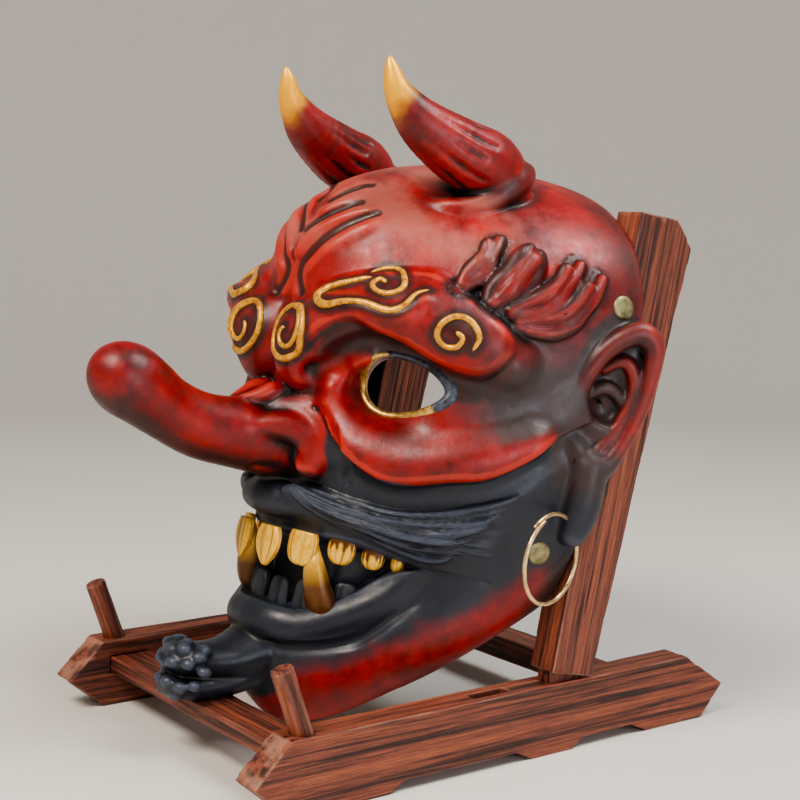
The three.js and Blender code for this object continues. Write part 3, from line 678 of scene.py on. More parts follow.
def goldLeafPaint():
    # gold paint laid by brush on raised lines: warm metal, browned in patches where it thins
    material, tree, shader = newMaterial("gold_paint_brushed")
    place = addNode(tree, "TexCoord").outputs["Object"]
    mottle = addNode(tree, "TexNoise", {"Scale": 420, "Detail": 5, "Roughness": 0.65}, {"Vector": place})
    drift = addNode(tree, "TexNoise", {"Scale": 90, "Detail": 3}, {"Vector": place})
    tone = addNode(tree, "ValToRGB", {}, {"Fac": mottle.outputs["Fac"]})
    tone.color_ramp.elements[0].position = 0.3
    tone.color_ramp.elements[0].color = paint("a8661f")
    tone.color_ramp.elements[1].position = 0.6
    tone.color_ramp.elements[1].color = paint("f0b548")
    thin = addNode(tree, "MapRange", {"From Min": 0.55, "From Max": 0.75, "To Max": 0.6},
                   {"Value": drift.outputs["Fac"]})
    mixed = addNode(tree, "Mix", {"data_type": "RGBA", 7: paint("7c2d14")}, {0: thin.outputs[0], 6: tone.outputs["Color"]})
    tree.links.new(mixed.outputs[2], shader.inputs["Base Color"])
    shader.inputs["Metallic"].default_value = 0.4
    rough = addNode(tree, "MapRange", {"To Min": 0.28, "To Max": 0.5}, {"Value": mottle.outputs["Fac"]})
    tree.links.new(rough.outputs[0], shader.inputs["Roughness"])
    bump = addNode(tree, "Bump", {"Strength": 0.4, "Distance": 0.0003}, {"Height": mottle.outputs["Fac"]})
    tree.links.new(bump.outputs[0], shader.inputs["Normal"])
    return material


goldPaint = goldLeafPaint()


def spiralRows(at, radius, turns, knee, start):
    # a spiral round a point of the face that closes in a ring, as rows of degrees, z and width
    rows = []
    for share in np.linspace(0, 1, 24):
        reach = radius * (0.16 + 0.84 * min(1, share / knee) ** 0.9)
        angle = math.radians(start + 360 * turns * share)
        degrees = math.degrees(reach * math.cos(angle) * 0.92 / 140)
        rows.append((at[0] + degrees, at[1] + reach * math.sin(angle), 0.7 + 0.5 * min(1, 2 * share)))
    return rows


def layLine(name, rows, side):
    # a raised line that lies on the face and follows it
    rows = np.array(clay.onFace(rows))
    path = bend(rows, 6 * len(rows))
    points = path[:, :3]
    up = clay.slope(points, 2.0)
    along = np.gradient(points, axis=0)
    across = np.cross(along, up)
    across /= np.linalg.norm(across, axis=1, keepdims=True)
    share = np.linspace(0, 1, len(path))
    taper = np.sqrt(np.clip(np.minimum(share, 1 - share) / 0.03, 0.05, 1))
    half = scrollForm["half"] * path[:, 3] * taper
    flip = np.array([side, 1, 1])
    if side < 0:
        across = -across
    return tube(name, fromMask(points * flip), (across * flip) @ maskAxes * mm, (up * flip) @ maskAxes * mm,
                half, half * 0.85)


def scrollLines():
    disc = scrollForm["disc"]
    lines = {name: scrollForm[name] for name in ("cloud", "coil", "outer")}
    lines["disc"] = spiralRows(disc["at"], disc["radius"], disc["turns"], disc["knee"], disc["start"])
    return lines


def makeScrolls():
    for side, word in ((1, "left"), (-1, "right")):
        for name, rows in scrollLines().items():
            piece = layLine(f"scroll_{name}_{word}", rows, side)
            piece.data.materials.append(goldPaint)
            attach(piece, "root")


makeScrolls()
print("scroll lines laid")


# The mask's own mesh and its paint

maskLook = {
    "mostTriangles": 188000,
    # the red along the jaw ends at this line of (degrees round the face, z), softly over this many millimetres
    "bandTop": [(-10, 6), (0, 9), (22, 25), (36, 39), (53, 57), (65, 71), (75, 86), (90, 104)],
    "bandSoft": 17.0,
    "haloReach": 6.5,
    "lockShade": 9.0,
    # how far before the horn's tip its gold begins and is full
    "goldReach": (-32, -6),
    "sizes": {"drift": 46, "stain": 15, "mottle": 5.5, "speck": 1.1, "brush": 2.4},
}


def alongLine(points, rows, steps=30):
    # distance along and across a line for each point, and how far the point is from it
    rows = bend(rows, steps)[:, :3]
    lengths = np.concatenate([[0], np.cumsum(np.linalg.norm(np.diff(rows, axis=0), axis=1))])
    best = np.full(len(points), 1e9)
    run, off = np.zeros(len(points)), np.zeros(len(points))
    for i in range(steps - 1):
        along = rows[i + 1] - rows[i]
        offset = points - rows[i]
        t = np.clip(offset @ along / max(along @ along, 1e-9), 0, 1)
        gap = offset - t[:, None] * along
        away = np.linalg.norm(gap, axis=1)
        nearer = away < best
        best = np.where(nearer, away, best)
        run = np.where(nearer, lengths[i] + t * np.linalg.norm(along), run)
        across = np.cross(along / np.linalg.norm(along), rows[i] * [1, 1, 0] / np.linalg.norm(rows[i, :2]))
        off = np.where(nearer, gap @ across, off)
    return run, off, best


def maskPaint(piece, hollow):
    # where each coat of paint, painted shade and painted highlight lies, from the forms themselves
    points = toMask(places(piece))
    x, y, z = np.abs(points[:, 0]), points[:, 1], points[:, 2]
    half = np.stack([x, y, z], 1)
    facing = np.empty(len(points) * 3, np.float32)
    piece.data.vertices.foreach_get("normal", facing)
    facing = facing.reshape(-1, 3) @ maskAxes.T
    turn = np.degrees(np.arctan2(x, -y))
    wobble = ripple(points, 28, 3)
    nose = np.min([awayFrom(half, noseForm[name]) for name in ("shaft", "root", "nub", "wing")], axis=0)
    horn = awayFrom(half, hornForm["path"])
    helix = awayFrom(half, onEar(earForm["helix"]))
    fold = awayFrom(half, onEar(earForm["antihelix"]))
    isNose = 1 - smooth(nose, 0.3, 2.2)
    isBeard = smooth(-y, 103, 108) * (1 - smooth(z, 30, 38))

    onSheet = (half - earForm["middle"]) @ earFrame().T
    ear = (1 - smooth(np.hypot((onSheet[:, 0] - 1) / 25, (onSheet[:, 1] + 8) / 60), 0.92, 1.05)) * smooth(onSheet[:, 2], -6, -2)
    overCheek = z - overLine(turn, faceForm["cheekEdge"])
    above = smooth(z - overLine(turn, maskLook["bandTop"]) + 2 * wobble, -maskLook["bandSoft"], maskLook["bandSoft"])
    black = np.maximum(smooth(-overCheek, -0.4, 1.2), smooth(126 - z, 0, 4)) * above * (1 - isNose)
    black *= 1 - (1 - smooth(turn, 16.5, 20)) * smooth(z, 128, 136)
    black = np.maximum(black, isBeard) * (1 - smooth(overCheek, 6, 9) * (1 - isBeard))
    black = black * (1 - ear) + ear * (1 - smooth(z + 4 * wobble, 108, 166))

    smoke = np.exp(-((turn - 72) / 22) ** 2 - ((z - 172) / 29) ** 2) * 1.35
    smoke = np.maximum(smoke, np.exp(-((turn - 60) / 9) ** 2 - ((z - 186) / 12) ** 2) * 0.8)
    smoke *= 1 - (1 - smooth(overCheek, 4, 20)) * (1 - smooth(turn, 66, 80))
    smoke = np.maximum(smoke, np.exp(-((turn - 96) / 14) ** 2 - ((z - 214) / 40) ** 2) * 0.55)
    smoke = np.maximum(smoke, 0.9 * smooth(turn, 72, 90) * (1 - smooth(overCheek, 0, 30)))
    rims = np.maximum(1 - smooth(helix, -0.5, 1.2), 1 - smooth(fold, -0.5, 1.0)) * smooth(z + 3 * wobble, 146, 168)
    smoke = smoke * (1 - ear) + ear * np.clip(0.8 - 0.6 * rims, 0, 1)

    # dark airbrush round the gold lines, over the temples and on the ear, and painted shade under the brow, in the
    # furrows, between the locks, under the nose where it faces down and round the foot of the horn
    halo = np.min([awayFrom(half, clay.onFace(rows), 40) for rows in scrollLines().values()], axis=0)
    wash = 0.85 * (1 - smooth(halo, 1.0, maskLook["haloReach"]))
    furrows = np.min([awayFrom(half, [(*row[:3], 0) for row in clay.onFace(rows)]) for rows, _, _ in faceForm["furrows"]],
                     axis=0)
    wash = np.maximum(wash, 0.95 * (1 - smooth(furrows, 0.8, 4.2)))
    locks = [clay.onFace(rows, 2) for rows, _, _ in lockForm]
    fromLocks = np.min([awayFrom(half, rows) for rows in locks], axis=0)
    wash = np.maximum(wash, (1 - smooth(fromLocks, 0, maskLook["lockShade"])) * (0.5 + 0.5 * smooth(fromLocks, -2, 0.5)))
    under = overLine(turn, faceForm["browEdge"]) - z
    wash = np.maximum(wash, smooth(under, -4, 3) * (1 - smooth(under, 9, 19)) * smooth(turn, 12, 20)
                      * (1 - smooth(turn, 50, 60)) * 0.95)
    wash = np.maximum(wash, isNose * smooth(-facing[:, 2], 0.25, 0.8) * 0.75)
    wash = np.maximum(wash, (1 - smooth(horn, 1, 11)) * smooth(horn, -0.5, 1.0) * 0.6)
    wash = np.maximum(wash, smooth(z, 262, 292) * (1 - smooth(horn, -1.5, 0.5)) * (1 - smooth(z, 284, 306)) * 0.5)
    wash = np.maximum(wash, 0.66 * smooth(turn, 58, 92) * smooth(z, 196, 236) * (1 - ear))
    wash = np.maximum(wash, 0.5 * ear)

    inside = 1 - smooth(np.abs(clay.at(points, hollow)), 0.3, 0.9)
    # the gold reaches further down the front of the horn than down its back
    run = alongLine(half, hornForm["path"])[0]
    gold = (1 - smooth(horn, 1, 2)) * smooth(run - run.max() - 7 * facing[:, 1] + 2 * wobble, *maskLook["goldReach"])
    # dust on the top of the head, lightened there into a painted sheen
    dust = (0.7 + 0.3 * ripple(points, 34, 9)) * smooth(z, 212, 246) * (1 - smooth(turn, 46, 76)) * smooth(horn, 0, 5)
    # the field blurred at two sizes: below 0 in hollows, which take painted shade, and above 0 on ridges, which take
    # rubbed paint and a painted highlight
    near, wide = (clay.at(points, clay.blurred(max(1, round(size / clay.cell)))) for size in (2.2, 6.6))

    # hair runs along the moustache and the locks: across it, along it, and how much of it there is
    upper, lower = (overLine(turn, [row[:2] for row in moustacheForm[name]]) for name in ("upper", "lower"))
    across = (upper - z) / np.maximum(upper - lower, 1)
    inBand = smooth(across, -0.08, 0.05) * (1 - smooth(across, 0.95, 1.08)) * smooth(turn, 6, 12) * (1 - smooth(turn, 60, 68))
    hair = np.stack([across * 7, turn * 1.2, inBand], 1)
    for rows in locks:
        run, off, best = alongLine(half, rows)
        onLock = 0.3 * (1 - smooth(best, 6, 9))
        hair = np.where((onLock > hair[:, 2])[:, None], np.stack([off * 0.35, run + 200, onLock], 1), hair)
    for name, values in (("black", black), ("smoke", np.clip(smoke, 0, 1)), ("inside", inside), ("gold", gold),
                         ("dust", dust), ("wash", np.clip(wash, 0, 1)), ("hair", hair),
                         ("crevice", np.clip(-near * 0.9 - wide * 0.3, 0, 1)), ("edge", np.clip(near * 1.2, 0, 1))):
        write(piece, name, values)


def resinPaint():
    # satin crimson laid by brush on cast resin, darkened by airbrush and by painted shade in its hollows and under its
    # overhangs, and rubbed lighter on its ridges, which also serves as a painted highlight
    material, tree, shader = newMaterial("painted_resin_crimson")
    place = addNode(tree, "TexCoord").outputs["Object"]
    names = ("black", "smoke", "inside", "gold", "dust", "wash", "crevice", "edge")
    coats = {name: addNode(tree, "Attribute", {"attribute_name": name}).outputs["Fac"] for name in names}
    noise = {name: addNode(tree, "TexNoise", {"Scale": 1000 / size, "Detail": 5, "Roughness": 0.62},
                           {"Vector": place}).outputs["Fac"] for name, size in maskLook["sizes"].items()}
    hair = addNode(tree, "Attribute", {"attribute_name": "hair"}).outputs["Vector"]
    hairParts = addNode(tree, "SeparateXYZ", {}, {0: hair})
    strand = addNode(tree, "Mapping", {"Scale": (1.1, 0.07, 0)}, {"Vector": hair})
    streaks = addNode(tree, "TexNoise", {"Scale": 1, "Detail": 3, "Roughness": 0.55}, {"Vector": strand.outputs[0]})
    combed = addNode(tree, "MapRange", {"From Min": 0.35, "From Max": 0.65}, {"Value": streaks.outputs["Fac"]})
    furrowed = addNode(tree, "Math", {"operation": "MULTIPLY"}, {0: combed.outputs[0], 1: hairParts.outputs[2]})

    # the red drifts from ox blood to scarlet, as two thin coats do
    blend = addNode(tree, "Math", {"operation": "MULTIPLY_ADD", 1: 0.45}, {0: noise["stain"]})
    drift = addNode(tree, "Math", {"operation": "MULTIPLY", 1: 0.55}, {0: noise["drift"]})
    tree.links.new(drift.outputs[0], blend.inputs[2])
    red = addNode(tree, "ValToRGB", {}, {"Fac": blend.outputs[0]})
    red.color_ramp.elements[0].position, red.color_ramp.elements[0].color = 0.38, paint("4e0809")
    red.color_ramp.elements[1].position, red.color_ramp.elements[1].color = 0.62, paint("a8170f")
    red.color_ramp.elements.new(0.5).color = paint("820e0c")
    colour = red.outputs["Color"]
    # each further coat: how much of it shows, how far the mottle breaks it up, and its colour
    # the coat on the ridges is rubbed paint and also a painted highlight, and the coat on the top of the head is dust
    # and also a painted sheen
    steps = [("edge", 0.35, 0.75, 0.45, "d8402c"), ("dust", 0.30, 0.95, 0.62, "ad6558"),
             # the wash coat is partly dark airbrush and partly painted shade
             ("wash", 0.15, 0.85, 0.9, "24100f"), ("smoke", 0.10, 0.90, 0.95, "332d2c"),
             # the slate coat on the black is rubbed paint and also a painted highlight
             ("black", 0.15, 0.85, 1.0, "1c212b"), ("rubbed", 0.25, 0.95, 0.4, "566174"),
             # the near-black coat in the hollows is painted shade
             ("crevice", 0.12, 0.65, 0.94, "0b0708"), ("inside", 0.40, 0.60, 1.0, "0d0c0c"),
             ("gold", 0.15, 1.00, 1.0, "fab532")]
    # slate rubbed onto the black along the ridges and the hair streaks, which also serves as a painted highlight on the
    # black
    faint = addNode(tree, "Math", {"operation": "MULTIPLY", 1: 0.6}, {0: hairParts.outputs[2]})
    rubbed = addNode(tree, "Math", {"operation": "MULTIPLY_ADD"}, {0: combed.outputs[0], 1: faint.outputs[0]})
    tree.links.new(coats["edge"], rubbed.inputs[2])
    onBlack = addNode(tree, "Math", {"operation": "MULTIPLY"}, {0: rubbed.outputs[0], 1: coats["black"]})
    coats["rubbed"] = onBlack.outputs[0]
    for name, low, high, most, tint in steps:
        broken = addNode(tree, "Math", {"operation": "MULTIPLY_ADD", 1: 0.36, 2: -0.18}, {0: noise["mottle"]})
        total = addNode(tree, "Math", {"operation": "ADD"}, {0: coats[name], 1: broken.outputs[0]})
        share = addNode(tree, "MapRange", {"interpolation_type": "SMOOTHSTEP", "From Min": low, "From Max": high,
                                           "To Max": most}, {"Value": total.outputs[0]})
        mixed = addNode(tree, "Mix", {"data_type": "RGBA", 7: paint(tint)}, {0: share.outputs[0], 6: colour})
        colour = mixed.outputs[2]
    tree.links.new(colour, shader.inputs["Base Color"])
    metal = addNode(tree, "MapRange", {"From Min": 0.35, "From Max": 0.9, "To Max": 0.4}, {"Value": coats["gold"]})
    tree.links.new(metal.outputs[0], shader.inputs["Metallic"])
    rough = addNode(tree, "MapRange", {"From Min": 0.35, "From Max": 0.65, "To Min": 0.36, "To Max": 0.52},
                    {"Value": noise["mottle"]})
    dull = addNode(tree, "Math", {"operation": "MULTIPLY_ADD", 1: 0.35}, {0: coats["inside"], 2: rough.outputs[0]})
    tree.links.new(dull.outputs[0], shader.inputs["Roughness"])
    grain = addNode(tree, "Bump", {"Strength": 0.3, "Distance": 0.15 * mm}, {"Height": noise["speck"]})
    brush = addNode(tree, "Bump", {"Strength": 0.35, "Distance": 0.3 * mm},
                    {"Height": noise["brush"], "Normal": grain.outputs[0]})
    tracks = addNode(tree, "Bump", {"Strength": 0.9, "Distance": 0.8 * mm},
                     {"Height": furrowed.outputs[0], "Normal": brush.outputs[0]})
    tree.links.new(tracks.outputs[0], shader.inputs["Normal"])
    shader.inputs["Coat Weight"].default_value = 0.08
    shader.inputs["Coat Roughness"].default_value = 0.3
    return material


resin = resinPaint()


def makeMask():
    whole = np.concatenate([clay.field[:0:-1], clay.field], 0)
    low = clay.low - [(clay.count[0] - 1) * clay.cell, 0, 0]
    points, faces = wrap(whole, low, clay.cell)
    piece = makeObject("mask_shell", fromMask(points), faces)
    print("wrapped in", len(faces), "faces")
    share = maskLook["mostTriangles"] / (2 * len(faces))
    if share < 1:
        thin = piece.modifiers.new("thin", "DECIMATE")
        thin.ratio = share
        settle(piece)
    piece.data.polygons.foreach_set("use_smooth", np.ones(len(piece.data.polygons), bool))
    maskPaint(piece, hollowField)
    piece.data.materials.append(resin)
    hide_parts("mask")
    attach(piece, "root")
    return piece


mask = makeMask()
print("mask has", len(mask.data.polygons), "faces")


# Eye rims

rimForm = {"front": 1.2, "tall": 2.2, "wideLow": 2.1, "wideBack": 3.6, "steps": 72}


def eyeRimPaint():
    # a rolled rim brushed with gold below and in front, and left slate blue at the back
    material, tree, shader = newMaterial("eye_rim_gold_over_slate")
    place = addNode(tree, "TexCoord").outputs["Object"]
    gold = addNode(tree, "Attribute", {"attribute_name": "gold"}).outputs["Fac"]
    mottle = addNode(tree, "TexNoise", {"Scale": 380, "Detail": 6, "Roughness": 0.7}, {"Vector": place})
    slate = addNode(tree, "ValToRGB", {}, {"Fac": mottle.outputs["Fac"]})
    slate.color_ramp.elements[0].position = 0.35
    slate.color_ramp.elements[0].color = paint("191c22")
    slate.color_ramp.elements[1].position = 0.75
    slate.color_ramp.elements[1].color = paint("5d6877")
    leaf = addNode(tree, "ValToRGB", {}, {"Fac": mottle.outputs["Fac"]})
    leaf.color_ramp.elements[0].position = 0.3
    leaf.color_ramp.elements[0].color = paint("8a5a1e")
    leaf.color_ramp.elements[1].position = 0.6
    leaf.color_ramp.elements[1].color = paint("e9c475")
    broken = addNode(tree, "Math", {"operation": "ADD"}, {0: gold, 1: mottle.outputs["Fac"]})
    share = addNode(tree, "MapRange", {"From Min": 0.85, "From Max": 1.15}, {"Value": broken.outputs[0]})
    mixed = addNode(tree, "Mix", {"data_type": "RGBA"},
                    {0: share.outputs[0], 6: slate.outputs["Color"], 7: leaf.outputs["Color"]})
    tree.links.new(mixed.outputs[2], shader.inputs["Base Color"])
    metal = addNode(tree, "Math", {"operation": "MULTIPLY", 1: 0.8}, {0: share.outputs[0]})
    tree.links.new(metal.outputs[0], shader.inputs["Metallic"])
    rough = addNode(tree, "MapRange", {"To Min": 0.3, "To Max": 0.5}, {"Value": mottle.outputs["Fac"]})
    tree.links.new(rough.outputs[0], shader.inputs["Roughness"])
    bump = addNode(tree, "Bump", {"Strength": 0.4, "Distance": 0.0003}, {"Height": mottle.outputs["Fac"]})
    tree.links.new(bump.outputs[0], shader.inputs["Normal"])
    return material


rimPaint = eyeRimPaint()


def holeOutline(count, grow):
    # the outline of the eye hole, in the plane that the eye faces, as sideways and upward distances
    way = np.array(eyeForm["faces"], float)
    way /= np.linalg.norm(way)
    up = np.array([0, 0, 1.0]) - way * way[2]
    up /= np.linalg.norm(up)
    side = np.cross(up, way)
    rows = bend(eyeForm["hole"], 16)
    middle = rows[:, :3].mean(0)
    flat = np.stack([(rows[:, :3] - middle) @ side, (rows[:, :3] - middle) @ up], 1)
    turn = np.linspace(0, 2 * math.pi, count, endpoint=False)
    lines = np.stack([np.cos(turn), np.sin(turn)], 1)
    reach = np.array([max(f @ line + math.sqrt(max((r + grow) ** 2 - (f @ f - (f @ line) ** 2), 0))
                          if (r + grow) ** 2 > f @ f - (f @ line) ** 2 else 0
                          for f, r in zip(flat, rows[:, 3])) for line in lines])
    return middle, way, side, up, lines * reach[:, None], turn


def makeEyeRim(name, flip):
    middle, way, side, up, flat, turn = holeOutline(rimForm["steps"], 0)
    wide = rimForm["wideLow"] + (rimForm["wideBack"] - rimForm["wideLow"]) * smooth(flat[:, 0], 0, 16)
    outward = flat / np.linalg.norm(flat, axis=1, keepdims=True)
    centre = flat + outward * wide[:, None] * 0.85
    points = []
    for a, b in centre:
        start = middle + side * a + up * b + way * 60
        points.append(clay.land(start, -way, 110) + way * rimForm["front"] * -1)
    points = np.array(points)
    for _ in range(4):
        points = (points + 0.5 * np.roll(points, 1, 0) + 0.5 * np.roll(points, -1, 0)) / 2
    across = outward[:, :1] * side + outward[:, 1:] * up
    piece = tube(name, fromMask(points * flip), (across * flip) @ maskAxes * mm,
                 np.broadcast_to((way * flip) @ maskAxes * mm, points.shape), wide, rimForm["tall"],
                 sides=16, closed=True)
    gold = smooth(-np.sin(turn + 0.7), -0.35, 0.35)
    write(piece, "gold", np.repeat(gold, 16))
    piece.data.materials.append(rimPaint)
    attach(piece, "root")


for word, flip in (("left", (1, 1, 1)), ("right", (-1, 1, 1))):
    makeEyeRim("eye_rim_" + word, np.array(flip))


# Teeth

toothForm = {
    # x, y, gum z, width, length, and how the width changes from gum to tip
    "shield": [(11.5, -121.5, 89.5, 16.5, 20.5)],
    "square": [(26, -110.5, 90, 17, 17)],
    "short": [(37.5, -95, 94, 14.5, 17), (46.5, -81.5, 91.5, 12, 14)],
    "peg": [(53, -71, 88, 7, 10)],
    "block": [(8.5, -107, 46, 13.5, 18.5), (22.5, -101, 47, 13, 18.5), (36.5, -87, 53, 13, 15), (47, -74, 63, 11, 10)],
    "depth": 7.0,
    "outline": {"shield": [0.78, 0.97, 1.0, 0.97, 0.82, 0.55, 0.2], "square": [0.86, 0.99, 1.0, 1.0, 0.96, 0.84, 0.5],
                "short": [0.8, 0.96, 1.0, 1.0, 0.97, 0.86, 0.5], "peg": [0.7, 0.9, 1.0, 1.0, 0.9, 0.75, 0.4],
                "block": [1.0, 1.0, 0.98, 0.96, 0.93, 0.88, 0.6]},
    "rings": 22, "sides": 36, "groove": 0.3,
    # how much umber lies at the gum of each kind, and how far down it reaches
    "gum": {"shield": (0, 0), "square": (0, 0), "short": (1, 8), "peg": (0.8, 3), "block": (0, 0)},
}
fangForm = {"path": [(31, -94, 53, 9), (32.5, -99, 58, 8.8), (32, -103, 67, 7.4), (30.5, -105.5, 77, 5.2),
                     (30, -106, 85.5, 1.4)], "rings": 26, "sides": 24}


def toothPaint():
    # gold paint on cast teeth: bright on the crown, burnt umber rubbed in at the gum and in the fine grooves
    material, tree, shader = newMaterial("gold_paint_with_umber_wash")
    place = addNode(tree, "TexCoord").outputs["Object"]
    gum = addNode(tree, "Attribute", {"attribute_name": "gum"}).outputs["Fac"]
    groove = addNode(tree, "Attribute", {"attribute_name": "groove"}).outputs["Fac"]
    mottle = addNode(tree, "TexNoise", {"Scale": 350, "Detail": 6, "Roughness": 0.7}, {"Vector": place})
    tone = addNode(tree, "ValToRGB", {}, {"Fac": mottle.outputs["Fac"]})
    tone.color_ramp.elements[0].position = 0.25
    tone.color_ramp.elements[0].color = paint("de9222")
    tone.color_ramp.elements[1].position = 0.6
    tone.color_ramp.elements[1].color = paint("ffd05a")
    colour = tone.outputs["Color"]
    for coat, low, high, most, tint in ((groove, 0.35, 1.0, 0.8, "5a3312"), (gum, 0.15, 0.85, 0.95, "54290f")):
        broken = addNode(tree, "Math", {"operation": "MULTIPLY_ADD", 1: 0.4, 2: -0.2}, {0: mottle.outputs["Fac"]})
        total = addNode(tree, "Math", {"operation": "ADD"}, {0: coat, 1: broken.outputs[0]})
        share = addNode(tree, "MapRange", {"From Min": low, "From Max": high, "To Max": most},
                        {"Value": total.outputs[0]})
        mixed = addNode(tree, "Mix", {"data_type": "RGBA", 7: paint(tint)}, {0: share.outputs[0], 6: colour})
        colour = mixed.outputs[2]
    tree.links.new(colour, shader.inputs["Base Color"])
    shader.inputs["Metallic"].default_value = 0.3
    rough = addNode(tree, "MapRange", {"To Min": 0.26, "To Max": 0.46}, {"Value": mottle.outputs["Fac"]})
    tree.links.new(rough.outputs[0], shader.inputs["Roughness"])
    bump = addNode(tree, "Bump", {"Strength": 0.35, "Distance": 0.0003}, {"Height": mottle.outputs["Fac"]})
    tree.links.new(bump.outputs[0], shader.inputs["Normal"])
    return material


def blackToothPaint():
    # black paint on the lower teeth, rubbed to slate on the raised grain
    material, tree, shader = newMaterial("black_paint_rubbed")
    place = addNode(tree, "TexCoord").outputs["Object"]
    groove = addNode(tree, "Attribute", {"attribute_name": "groove"}).outputs["Fac"]
    mottle = addNode(tree, "TexNoise", {"Scale": 260, "Detail": 5}, {"Vector": place})
    tone = addNode(tree, "ValToRGB", {}, {"Fac": mottle.outputs["Fac"]})
    tone.color_ramp.elements[0].color = paint("15171b")
    tone.color_ramp.elements[1].color = paint("3b424d")
    mixed = addNode(tree, "Mix", {"data_type": "RGBA", 7: paint("0b0b0d")}, {0: groove, 6: tone.outputs["Color"]})
    tree.links.new(mixed.outputs[2], shader.inputs["Base Color"])
    rough = addNode(tree, "MapRange", {"To Min": 0.35, "To Max": 0.6}, {"Value": mottle.outputs["Fac"]})
    tree.links.new(rough.outputs[0], shader.inputs["Roughness"])
    bump = addNode(tree, "Bump", {"Strength": 0.35, "Distance": 0.0003}, {"Height": mottle.outputs["Fac"]})
    tree.links.new(bump.outputs[0], shader.inputs["Normal"])
    return material


goldTooth, blackTooth = toothPaint(), blackToothPaint()


def makeTooth(name, kind, row, flip, seed):
    # one tooth: rounded cross-sections from gum to tip, with fine grooves down its front
    x, y, gum, width, length = row
    turn = math.atan2(x, -y - 52)
    out = np.array([math.sin(turn), -math.cos(turn), 0])
    side = np.array([math.cos(turn), math.sin(turn), 0])
    rings, sides = toothForm["rings"], toothForm["sides"]
    outline = np.array(toothForm["outline"][kind])
    share = np.linspace(0, 1, rings)
    swell = np.interp(share, np.linspace(0, 1, len(outline)), outline)
    swell = swell * np.where(share > 0.97, 0.75, 1)
    down = -1 if kind != "block" else 1
    angle = np.arange(sides) * 2 * math.pi / sides
    random = np.random.default_rng(seed)
    flute = sum(random.uniform(0.4, 1) * np.sin(angle * k + random.uniform(0, 6)) for k in (9, 13, 17))
    flute = np.clip(flute, -1, 1)
    points, groove, dark = [], [], []
    for k in range(rings):
        thick = toothForm["depth"] * (0.72 + 0.28 * math.sin(math.pi * (0.25 + 0.6 * share[k]))) * swell[k] ** 0.5
        power = 0.72 if kind != "block" else 0.6
        a = np.sign(np.cos(angle)) * np.abs(np.cos(angle)) ** power * width / 2 * swell[k]
        b = np.sign(np.sin(angle)) * np.abs(np.sin(angle)) ** power * thick * np.where(np.sin(angle) < 0, 0.3, 0.5)
        b = b - toothForm["groove"] * np.clip(flute, 0, 1) * (np.sin(angle) > 0) * math.sin(math.pi * share[k])
        ring = (np.array([x, y, gum + down * length * share[k]]) + a[:, None] * side + b[:, None] * out)
        points.append(ring)
        groove.append(np.clip(flute, 0, 1) * (np.sin(angle) > -0.2))
        most, reach = toothForm["gum"][kind]
        edge = share[k] * length - reach - 2.2 * flute
        dark.append(most * (1 - smooth(edge, -1, 1.5)))
    points = np.concatenate(points)
    faces = [(k * sides + j, k * sides + (j + 1) % sides, (k + 1) * sides + (j + 1) % sides, (k + 1) * sides + j)
             for k in range(rings - 1) for j in range(sides)]
    faces += [tuple(range(sides))[::-1], tuple((rings - 1) * sides + j for j in range(sides))]
    if (down * flip[0]) > 0:
        faces = [face[::-1] for face in faces]
    piece = makeObject(name, fromMask(points * flip), [face[::-1] for face in faces])
    write(piece, "groove", np.concatenate(groove))
    write(piece, "gum", np.concatenate(dark))
    piece.data.materials.append(blackTooth if kind == "block" else goldTooth)
    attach(piece, "root")


def makeFang(name, flip):
    path = bend(fangForm["path"], fangForm["rings"])
    points = path[:, :3]
    along = np.gradient(points, axis=0)
    along /= np.linalg.norm(along, axis=1, keepdims=True)
    across = np.cross(along, [0, 1.0, 0])
    across /= np.linalg.norm(across, axis=1, keepdims=True)
    up = np.cross(across, along)
    piece = tube(name, fromMask(points * flip), (across * flip) @ maskAxes * mm, (up * flip) @ maskAxes * mm,
                 path[:, 3], path[:, 3] * 0.85, sides=fangForm["sides"])
    share = np.repeat(np.linspace(0, 1, len(path)), fangForm["sides"])
    write(piece, "gum", 1.05 * (1 - smooth(share, 0.25, 0.95)))
    write(piece, "groove", np.clip(ripple(np.stack([share * 9, np.tile(np.arange(fangForm["sides"]) * 8.0, len(path)),
                                                    0 * share], 1), 30, 5), 0, 1))
    piece.data.materials.append(goldTooth)
    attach(piece, "root")


def makeTeeth():
    number = 0
    for word, flip in (("left", (1, 1, 1)), ("right", (-1, 1, 1))):
        for kind in ("shield", "square", "short", "peg", "block"):
            for place, row in enumerate(toothForm[kind]):
                number += 1
                makeTooth(f"tooth_{kind}_{place + 1}_{word}", kind, row, np.array(flip), number)
        makeFang("fang_" + word, np.array(flip))


makeTeeth()
print("teeth set")


# Brass caps and rings

capForm = {"sides": 40, "profile": [(0, 1.0), (0.35, 0.97), (0.62, 0.88), (0.8, 0.74), (0.93, 0.48), (1.0, 0.2),
                                    (1.0, -0.6)]}
ringForm = {"diameter": 47.0, "wire": 2.3, "lap": 16, "gap": 1.15, "steps": 150, "joint": 52}


